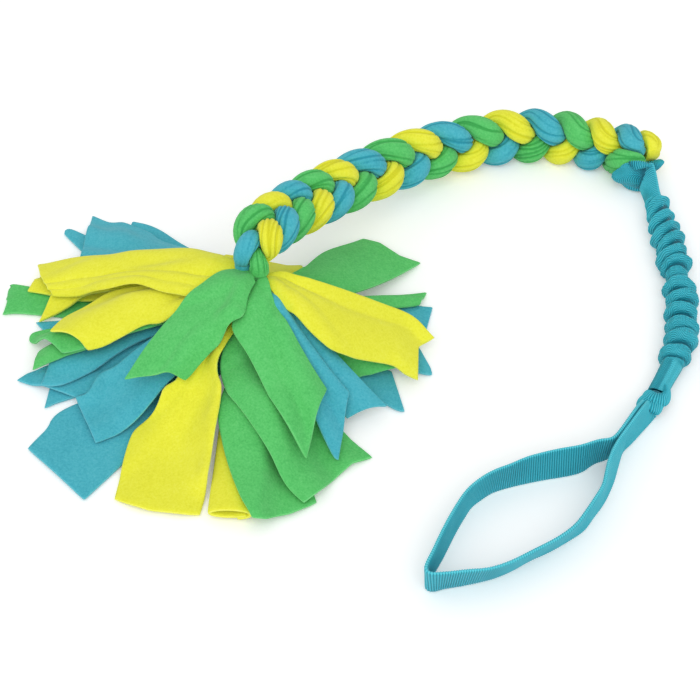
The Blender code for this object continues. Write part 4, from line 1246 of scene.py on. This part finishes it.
def strapEdges(s):
    # Both edges of the strap: the lower one lies on the table, and the upper one is a strap's width away
    # from it, at right angles to the way that it runs
    count, fine = s["places"]
    evenMatch, evenHead = s["evening"]
    lower, _ = smoothRoute(s["lower"], count)
    upper, _ = smoothRoute(s["upper"], fine)
    foot = np.stack([*fromPhoto(lower[:, 0], lower[:, 1], s["foot"]), np.full(count, s["foot"])], axis=1)
    along = lengthAlong(foot)
    width = s["width"] * (s["gathered"] + (1 - s["gathered"]) * smoothstep(
        np.minimum(along, along[-1] - along) / s["gatherLength"]))
    ground = np.stack([*fromPhoto(upper[:, 0], upper[:, 1], 0.0), np.zeros(fine)], axis=1)
    lift = math.radians(studio["lift"])
    eye = np.array(studio["aim"]) + np.array([0, -math.cos(lift), math.sin(lift)]) * studio["distance"]
    tangent = unit(np.gradient(foot, axis=0))
    fraction = np.linspace(0, 1, fine)

    def above(k, ground):
        # On the pixel's ray, at the strap's width from its lower edge
        ray, gap = eye - ground, ground - foot[k]
        a, b, c = (ray ** 2).sum(-1), 2 * (ray * gap).sum(-1), (gap ** 2).sum(-1) - width[k] ** 2
        share = (-b + np.sqrt(np.maximum(b * b - 4 * a * c, 0))) / (2 * a)
        return ground + ray * share[..., None]

    matched = np.zeros(count)
    for k in range(count):
        spots = above(k, ground)
        off = np.abs(((spots - foot[k]) * tangent[k]).sum(1)) / width[k]
        far = np.abs(np.linalg.norm(spots - foot[k], axis=1) / width[k] - 1)
        matched[k] = fraction[np.argmin(off + far + 4 * np.abs(fraction - k / (count - 1)))]
    matched = np.maximum.accumulate(blur(matched[:, None], evenMatch, 0)[:, 0])
    pixels = valuesAt(matched, fraction, upper)
    ground = np.stack([*fromPhoto(pixels[:, 0], pixels[:, 1], 0.0), np.zeros(count)], axis=1)
    head = np.array([above(k, ground[k]) for k in range(count)])
    return foot, blur(head, evenHead, 0)


def buildHandLoop(s):
    foot, head = strapEdges(s)
    width = np.linalg.norm(head - foot, axis=1)
    line, across = (foot + head) / 2, unit(head - foot)
    tangent = unit(np.gradient(line, axis=0))
    normal = unit(np.cross(across, tangent))
    line[:, 2] = np.maximum(line[:, 2], width / 2 * across[:, 2] + clearance
                            + s["thickness"] / 2 * np.abs(normal[:, 2]))
    piece, run = strap("hand_loop_strap", line, across, normal, webbing, width, s["thickness"])
    fasten(piece, "handle", "hand_loop", "webbing")
    print("hand loop made")


buildHandLoop(handLoop)


sleeve = {
    "radius": 0.0054,
    "wall": 0.0009,
    "around": 60,
    "rings": 960,
    "route": ((0.2061, 0.0970), (0.2086, 0.0820), (0.2116, 0.0610), (0.2128, 0.0420), (0.2135, 0.0255),
              (0.2125, 0.0060), (0.2084, -0.0144)),
    "height": 0.0076,
    "lowest": 0.0002,              # how near the table its folds come
    "girth": 1.15,                 # the cloth's girth over the tube's
    "innerEvery": 12,              # one ring of the inner wall for so many of the outer one
    "tuck": 0.0030,                # how far the cloth goes into the knot
    "bands": (0.0002, 0.0100, 0.0196, 0.0290, 0.0380, 0.0458, 0.0520, 0.0600,
              0.0705, 0.0795, 0.0890, 0.0990, 0.1095, 0.1190),      # where one fold ends and the next begins
    "smoothBand": 6,               # the stretch that isn't folded
    "folds": (0.0016, 0.0020, 0.0029, 0.0027, 0.0032, 0.0029, 0.0003,
              0.0030, 0.0033, 0.0032, 0.0032, 0.0031, 0.0026),      # how far each stands out
    "rollShares": (0.72, 0.88),    # how much of each fold is its rounded back
    "lean": 0.30,                  # how far off its middle that may be
    "valley": 0.0014,              # how deep the folds are pinched between them
    "tilts": (0.0034, 0.0040, 0.0030, 0.0038, 0.0030, 0.0026, 0.0010, 0.0002,
              -0.0012, 0.0008, -0.0006, 0.0010, 0.0016, 0.0020),    # how far along each pinch runs
    "ribLean": 1.3,                # how far the last layer's ribs slant
    "swing": 12,                   # degrees by which the pinches' tilts turn about
    "seed": 21,
    "layerEdge": (0.05, 0.12, 0.13),    # the last layer's edge: its place, its slope and its shadow's width
    "wrinkle": 0.0007,
    # Its last, flattened stretch: place, and how wide and how tall it is there
    "end": ((0.1170, 1.0, 1.0), (0.1250, 0.95, 0.66), (0.1330, 0.90, 0.50), (0.1420, 0.90, 0.48)),
}


def sleeveLine(s):
    last, middle = np.array(s["route"][-1]), np.array(knot["place"])
    seat = middle + unit(last - middle) * (knot["radii"][0] + clearance - s["tuck"])
    route, length = smoothRoute([(x, y, s["height"]) for x, y in (*s["route"], seat)], 200)
    tangent = unit(np.gradient(route, axis=0))
    left = unit(np.cross(np.array([0, 0, 1.0]), tangent))
    return route, left, np.cross(tangent, left), length


def overLayer(turn, s):
    # 1 where the last stretch's right-hand layer stands over the left one
    place, slope, _ = s["layerEdge"]
    return smoothstep((np.cos(turn) + place) / slope)


def foldHeights(at, turn, s, chance):
    # How far the gathered cloth stands out at places along the sleeve and round it, and the shade painted in
    # its valleys
    bounds = []
    for place, tilt in zip(s["bands"], s["tilts"]):
        heading = math.radians(180 + chance.uniform(-1, 1) * s["swing"])
        curl = chance.uniform(-0.0006, 0.0006) * np.cos(2 * turn + chance.uniform(0, 6))
        bounds.append(place + tilt * np.cos(turn - heading) + curl)
    stand = np.zeros(np.broadcast(at, turn).shape)
    valley = np.zeros_like(stand)
    for n, height in enumerate(s["folds"]):
        t = (at - bounds[n]) / (bounds[n + 1] - bounds[n])
        inside = (t > 0) & (t < 1)
        lean = np.exp(s["lean"] * chance.uniform(-1, 1) * np.cos(turn - chance.uniform(0, 6)))
        t = np.clip(t, 0, 1) ** lean
        rollShare = chance.uniform(*s["rollShares"])
        lobe = np.sqrt(np.clip(1 - np.abs((2 * t - 1) / rollShare) ** 2.0, 0, 1))
        pinch = -s["valley"] * (1 - lobe)
        full = height * (0.92 + 0.26 * np.cos(turn - n * 2.4 - chance.uniform(-0.5, 0.5)))
        wrinkle = s["wrinkle"] * np.cos(2 * math.pi * (2.2 * t + chance.uniform()))
        wrinkle = wrinkle * np.cos(turn * 2 - chance.uniform(0, 6))
        if n == s["smoothBand"]:
            lobe = np.sin(math.pi * np.clip(t, 0, 1)) ** 0.6
            wrinkle = wrinkle * 0
        stand = np.where(inside, lobe * (full + wrinkle) + pinch, stand)
        # Shade is painted where the folds are pinched
        valley = np.where(inside, np.clip(1.4 - lobe * 2.1, 0, 1.4), valley)
    # The last stretch is doubled: shade is painted on the lower layer and along the edge between them, and
    # the upper layer is painted lighter
    last = smoothstep((at - s["bands"][-1] - 0.001) / 0.002)
    place, _, wide = s["layerEdge"]
    crease = np.exp(-((np.cos(turn) + place) / wide) ** 2)
    valley = valley + last * (0.30 - 0.75 * overLayer(turn, s) + 0.55 * crease)
    return stand, valley


def buildSleeve(s):
    route, left, up, length = sleeveLine(s)
    chance = np.random.default_rng(s["seed"])
    rings, around = s["rings"], s["around"]
    at = np.linspace(0, length, rings)[:, None]
    turn = evenTurns(around)[None, :]
    index = np.linspace(0, length, len(route))
    line, beside, above = (valuesAt(at[:, 0], index, v) for v in (route, left, up))
    stand, valley = foldHeights(at, turn, s, chance)
    stand, valley = blur(stand, 3, 1), blur(valley, 3, 1)
    radius = s["radius"] + stand
    places, wide, tall = (np.array(v) for v in zip(*s["end"]))
    wide, tall = np.interp(at, places, wide), np.interp(at, places, tall)
    flat = (beside[:, None, :] * (np.cos(turn) * wide)[:, :, None]
            + above[:, None, :] * (np.sin(turn) * tall)[:, :, None])
    outer = line[:, None, :] + flat * radius[:, :, None]
    outer[:, :, 2] = np.maximum(outer[:, :, 2], s["lowest"])
    run = runAlong(outer)
    lean = smoothstep((at - s["bands"][-1]) / 0.003) * overLayer(turn, s)
    ribRun = run + lean * np.cos(turn) * s["radius"] * s["ribLean"]
    inner = line[:, None, :] + flat * (s["radius"] - s["valley"] - s["wall"])
    inner = inner[::s["innerEvery"]]
    points = np.concatenate([outer.reshape(-1, 3), inner.reshape(-1, 3)])
    faces = gridFaces(rings, around, closed=True)
    shift = rings * around
    faces += [tuple(shift + k for k in face) for face in gridFaces(len(inner), around, closed=True)]
    lastOuter, lastInner = (rings - 1) * around, shift + (len(inner) - 1) * around
    for k in range(around):
        n = (k + 1) % around
        faces.append((k, n, shift + n, shift + k))
        faces.append((lastOuter + k, lastOuter + n, lastInner + n, lastInner + k))
    hidden = np.zeros(inner.shape[0] * around)
    # The valley attribute carries the painted shade of the folds, full on the inner wall
    attributes = {
        "run": np.concatenate([ribRun.ravel(), hidden]),
        "across": np.concatenate([(turn * s["radius"] + 0 * run).ravel(), hidden]),
        "rib": np.concatenate([(1 - 0.6 * valley).ravel(), hidden]),
        "valley": np.concatenate([valley.ravel(), hidden + 1]),
    }
    piece = makePiece("bungee_sleeve_cloth", points, faces, [looks["webbing"]], attributes)
    faceOutward(piece)
    addRibs(piece, webbing)
    begin, finish = route[0] + neck, route[-1] + neck
    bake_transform(piece)
    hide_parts("bungee_sleeve")
    buildElastic(route, left, up, elastic)


elastic = {
    "radius": 0.0022,
    "rings": 60,
    "around": 14,
    "first": 2,                    # where it starts, counted in the places of the sleeve's line
    "reach": 0.84,                 # how far along the sleeve it ends, where the gathers do
    "colours": ((0.62, 0.62, 0.58), (0.80, 0.80, 0.76)),
}


def buildElastic(route, left, up, s):
    rings, around = s["rings"], s["around"]
    pick = np.linspace(s["first"], len(route) * s["reach"], rings).round().astype(int)
    points = [route[k] + s["radius"] * (left[k] * math.cos(t) + up[k] * math.sin(t))
              for k in pick for t in evenTurns(around)]
    faces = gridFaces(rings, around, closed=True)
    capEnds(faces, rings, around)
    piece = makePiece("bungee_elastic_core", points, faces, [looks["elastic"]])
    faceOutward(piece)
    tuple(route[0] + neck)
    tuple(route[-1] + neck)
    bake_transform(piece)
    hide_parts("bungee_elastic")


def elasticMaterial(s):
    board = Board("elastic")
    place = board.add("ShaderNodeTexCoord", out="Object")
    weave = board.noise(place, 900.0, 2.0)
    colour = board.blend(weave, *s["colours"])
    bump = board.bump(weave, 0.4, 0.0002)
    return board.finish(Base_Color=colour, Normal=bump, Roughness=0.8)


looks["elastic"] = elasticMaterial(elastic)
buildSleeve(sleeve)


# The webbing's fold round the fleece, and the doubled neck below it

hitchFront = {
    "wall": 0.0022,            # the ring's, round the fleece
    "ringPlaces": 97,
    # Each station: the far edge's pixel and height, then the near edge's
    "band": (
        (620, 170, 0.0100, 621, 177, 0.0070), (620, 167.5, 0.0150, 621, 180.5, 0.0044),
        (622.5, 165, 0.0180, 625, 183, 0.0026), (627, 163, 0.0200, 629.5, 185, 0.0018),
        (632.5, 162.5, 0.0205, 634, 187, 0.0016), (638, 163.5, 0.0195, 637, 188.5, 0.0016),
        (643, 166, 0.0175, 639, 189, 0.0018), (648, 170, 0.0150, 641, 189, 0.0026),
    ),
    "fold": (
        (629, 161.5, 0.0212, 631, 166, 0.0196), (633, 160.8, 0.0216, 635.5, 169.5, 0.0186),
        (639, 160.8, 0.0214, 640, 169, 0.0186), (645, 161.8, 0.0204, 645, 168, 0.0180),
        (651, 164, 0.0176, 649, 169, 0.0160),
    ),
    "far": (
        (647, 162, 0.0150, 649, 172, 0.0100), (653, 161, 0.0140, 655, 171, 0.0090),
        (658, 159.5, 0.0120, 659, 168, 0.0080), (661, 159.5, 0.0100, 661, 164, 0.0080),
    ),
    "neck": (
        (648, 166, 0.0150, 640, 187, 0.0028), (651.5, 163, 0.0175, 641, 190, 0.0026),
        (654, 167, 0.0170, 642.5, 194, 0.0030), (656.5, 178, 0.0150, 644, 198, 0.0036),
        (658.5, 189, 0.0140, 646, 203, 0.0038), (661, 198, 0.0135, 647.5, 208, 0.0036),
        (663, 206, 0.0125, 649, 213, 0.0034),
    ),
    "bend": (0.007, 0.0255),   # between these distances from the fleece the webbing would bend; the two places are worked out but not used
    # Each tube: its name, stations, thickness, swell, shadows along it, and the part that it stands for
    "tubes": (
        ("hitch_band_front", "band", 0.0013, 0.0036, (0.3, 0, 0, 0, 0.1, 0.5, 1.1, 1.6), "hitch_loop"),
        ("hitch_band_fold", "fold", 0.0008, 0.0006, (1.2, 0.1, -0.1, 0.0, 0.3), "hitch_loop"),
        ("hitch_band_far", "far", 0.0010, 0.0010, (0.8, 0.4, 0.1, 0.1), "hitch_loop"),
        ("hitch_neck_band", "neck", 0.0026, 0.0012, (0.6, 0, 0, 0, 0, 0, 0.2), "hitch_neck"),
    ),
    "rings": 300,
    "around": 40,
    "endShare": 0.06,          # how soon a tube reaches its full thickness
    "halfThreads": 0.0085,     # half the width that its threads are counted over
}


def flatTube(name, stations, thick, puffed, s, shadow):
    # A flattened tube of webbing between two edges, given by their pixels and heights. The shadow list
    # says how dark it is along its length
    marks = np.array(stations)
    far = np.stack([*fromPhoto(marks[:, 0], marks[:, 1], marks[:, 2]), marks[:, 2]], axis=1)
    near = np.stack([*fromPhoto(marks[:, 3], marks[:, 4], marks[:, 5]), marks[:, 5]], axis=1)
    both = np.concatenate([far, near], axis=1)
    index = np.linspace(0, len(marks) - 1, s["rings"])
    places = np.arange(len(marks), dtype=float)
    smooth = np.stack([softCurve(places, both[:, k], index) for k in range(6)], axis=1)
    middle, half = (smooth[:, :3] + smooth[:, 3:]) / 2, (smooth[:, :3] - smooth[:, 3:]) / 2
    tangent = unit(np.gradient(middle, axis=0))
    outward = unit(np.cross(half, tangent))
    towardsCamera = np.array([0, -0.7, 0.7])
    outward = outward * np.sign(outward @ towardsCamera)[:, None]
    turns = evenTurns(s["around"], 0.5)
    swell = puffed * (1 - np.cos(turns) ** 2)
    ends = fromEnds(s["rings"], s["endShare"])
    deep = (thick * np.sin(turns) + swell)[None, :] * (0.4 + 0.6 * ends[:, None])
    points = (middle[:, None, :] + half[:, None, :] * np.cos(turns)[None, :, None]
              + outward[:, None, :] * deep[:, :, None])
    points[:, :, 2] = np.maximum(points[:, :, 2], clearance)
    run = runAlong(points)
    faces = gridFaces(s["rings"], s["around"], closed=True)
    capEnds(faces, s["rings"], s["around"])
    edge = -0.5 * (np.abs(np.cos(turns)) > 0.985)
    shade = np.interp(index, np.linspace(0, len(marks) - 1, len(shadow)), shadow)
    attributes = {
        "run": run,
        "across": np.broadcast_to(np.cos(turns) * s["halfThreads"], run.shape),
        "rib": np.ones(run.shape),
        "valley": shade[:, None] + edge[None, :],
    }
    piece = makePiece(name, points.reshape(-1, 3), faces, [looks["webbing"]], attributes)
    faceOutward(piece)
    addRibs(piece, webbing)
    return piece


def buildHitch(h, s):
    centre = np.array([*h["place"], h["foot"] + h["height"] / 2])
    turns = np.linspace(0, 2 * math.pi, s["ringPlaces"])
    radius = h["pinRadius"] + h["gap"] + s["wall"] / 2
    line = centre + np.stack([radius * np.cos(turns), radius * np.sin(turns), 0 * turns], axis=1)
    out = np.stack([np.cos(turns), np.sin(turns), 0 * turns], axis=1)
    up = np.tile([0, 0, 1.0], (s["ringPlaces"], 1))
    ring, _ = strap("hitch_band_ring", line, up, out, webbing, h["height"], s["wall"])
    fasten(ring, "bungee_head", "hitch_loop", "webbing")
    # The webbing grips the fleece, so it would bend between there and the sleeve when the sleeve swings: the
    # places of that bend are worked out but not used
    away = unit(np.array([*sleeve["route"][0], 0.0]) - np.array([*h["place"], 0.0]))
    start, end = (tuple(centre + neck + away * reach) for reach in s["bend"])
    for name, part, thick, puff, shadow, node in s["tubes"]:
        piece = flatTube(name, s[part], thick, puff, s, shadow)
        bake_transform(piece)
        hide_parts(node)
    print("hitch made")


buildHitch(hitch, hitchFront)


# The knot: the doubled strap taken round itself

turnsOfKnot = (
    # Along the axis, to its side and up from its middle, in metres: the big turn, which comes out of the
    # sleeve, and the small one
    ((-0.0150, 0.0010, 0.0004), (-0.0115, 0.0016, 0.0008), (-0.0080, 0.0040, 0.0014),
     (-0.0042, 0.0058, 0.0022), (-0.0008, 0.0050, 0.0038), (0.0010, 0.0008, 0.0050),
     (0.0002, -0.0040, 0.0034), (-0.0022, -0.0058, -0.0012), (-0.0020, -0.0020, -0.0034)),
    ((0.0000, 0.0046, -0.0026), (0.0034, 0.0052, 0.0012), (0.0060, 0.0012, 0.0040),
     (0.0050, -0.0036, 0.0036), (0.0030, -0.0060, 0.0002), (0.0026, -0.0030, -0.0030)),
)
knotBand = {
    "wide": 0.0066,
    "thick": 0.0034,
    "core": 0.74,        # the lump inside the turns, as a share of the knot
    "reach": 0.82,       # how far out the turns lie, as a share of their places
    "slim": (0.55, 0.16),    # how slim the ends of a turn are, and over what share of it
    "rings": 260,
    "around": 28,
}


def buildKnot(k, band):
    turn = math.radians(k["turn"])
    axis = np.array([-math.cos(turn), -math.sin(turn), 0])
    side = np.array([math.sin(turn), -math.cos(turn), 0])
    up = np.array([0, 0, 1.0])
    middle = np.array([*k["place"], k["radii"][2]])
    long, broad, tall = k["radii"]
    shape = bmesh.new()
    bmesh.ops.create_uvsphere(shape, u_segments=48, v_segments=24, radius=1.0)
    points = [middle + band["core"] * (v.co.x * long * axis + v.co.y * broad * side + v.co.z * tall * up)
              for v in shape.verts]
    faces = [tuple(v.index for v in face.verts) for face in shape.faces]
    shape.free()
    run = [float((p - middle) @ axis) for p in points]
    # The lump inside the turns is painted in shade
    rib, valley = [1.0] * len(points), [0.9] * len(points)
    rings, around = band["rings"], band["around"]
    angles = evenTurns(around)
    for places in turnsOfKnot:
        route, length = smoothRoute(places, rings)
        line = middle + route[:, :1] * axis + band["reach"] * (route[:, 1:2] * side + route[:, 2:] * up)
        tangent = unit(np.gradient(line, axis=0))
        outward = line - (middle + ((line - middle) @ axis)[:, None] * axis)
        outward = unit(outward - (outward * tangent).sum(1)[:, None] * tangent)
        across = np.cross(tangent, outward)
        slim, share = band["slim"]
        taper = (slim + (1 - slim) * fromEnds(rings, share))[:, None, None]
        wide = (band["wide"] / 2 * taper) * np.cos(angles)[None, :, None] * across[:, None, :]
        deep = (band["thick"] / 2 * taper) * np.sin(angles)[None, :, None] * outward[:, None, :]
        tube = line[:, None, :] + wide + deep
        tube[:, :, 2] = np.maximum(tube[:, :, 2], clearance)
        shift = len(points)
        points += list(tube.reshape(-1, 3))
        faces += [tuple(shift + n for n in face) for face in gridFaces(rings, around, closed=True)]
        capEnds(faces, rings, around, shift)
        run += list(np.repeat(np.linspace(0, length, rings), around))
        rib += [1.0] * (rings * around)
        # Shade is painted on each turn towards its sides
        valley += list(np.tile(0.5 * np.abs(np.cos(angles)) ** 6, rings))
    points = np.array(points)
    piece = makePiece("handle_knot_turns", points, faces, [looks["webbing"]],
                      {"run": run, "across": points[:, 2], "rib": rib, "valley": valley})
    faceOutward(piece)
    addRibs(piece, webbing)
    fasten(piece, "knot", "handle_knot", "webbing")
    print("knot made")


buildKnot(knot, knotBand)
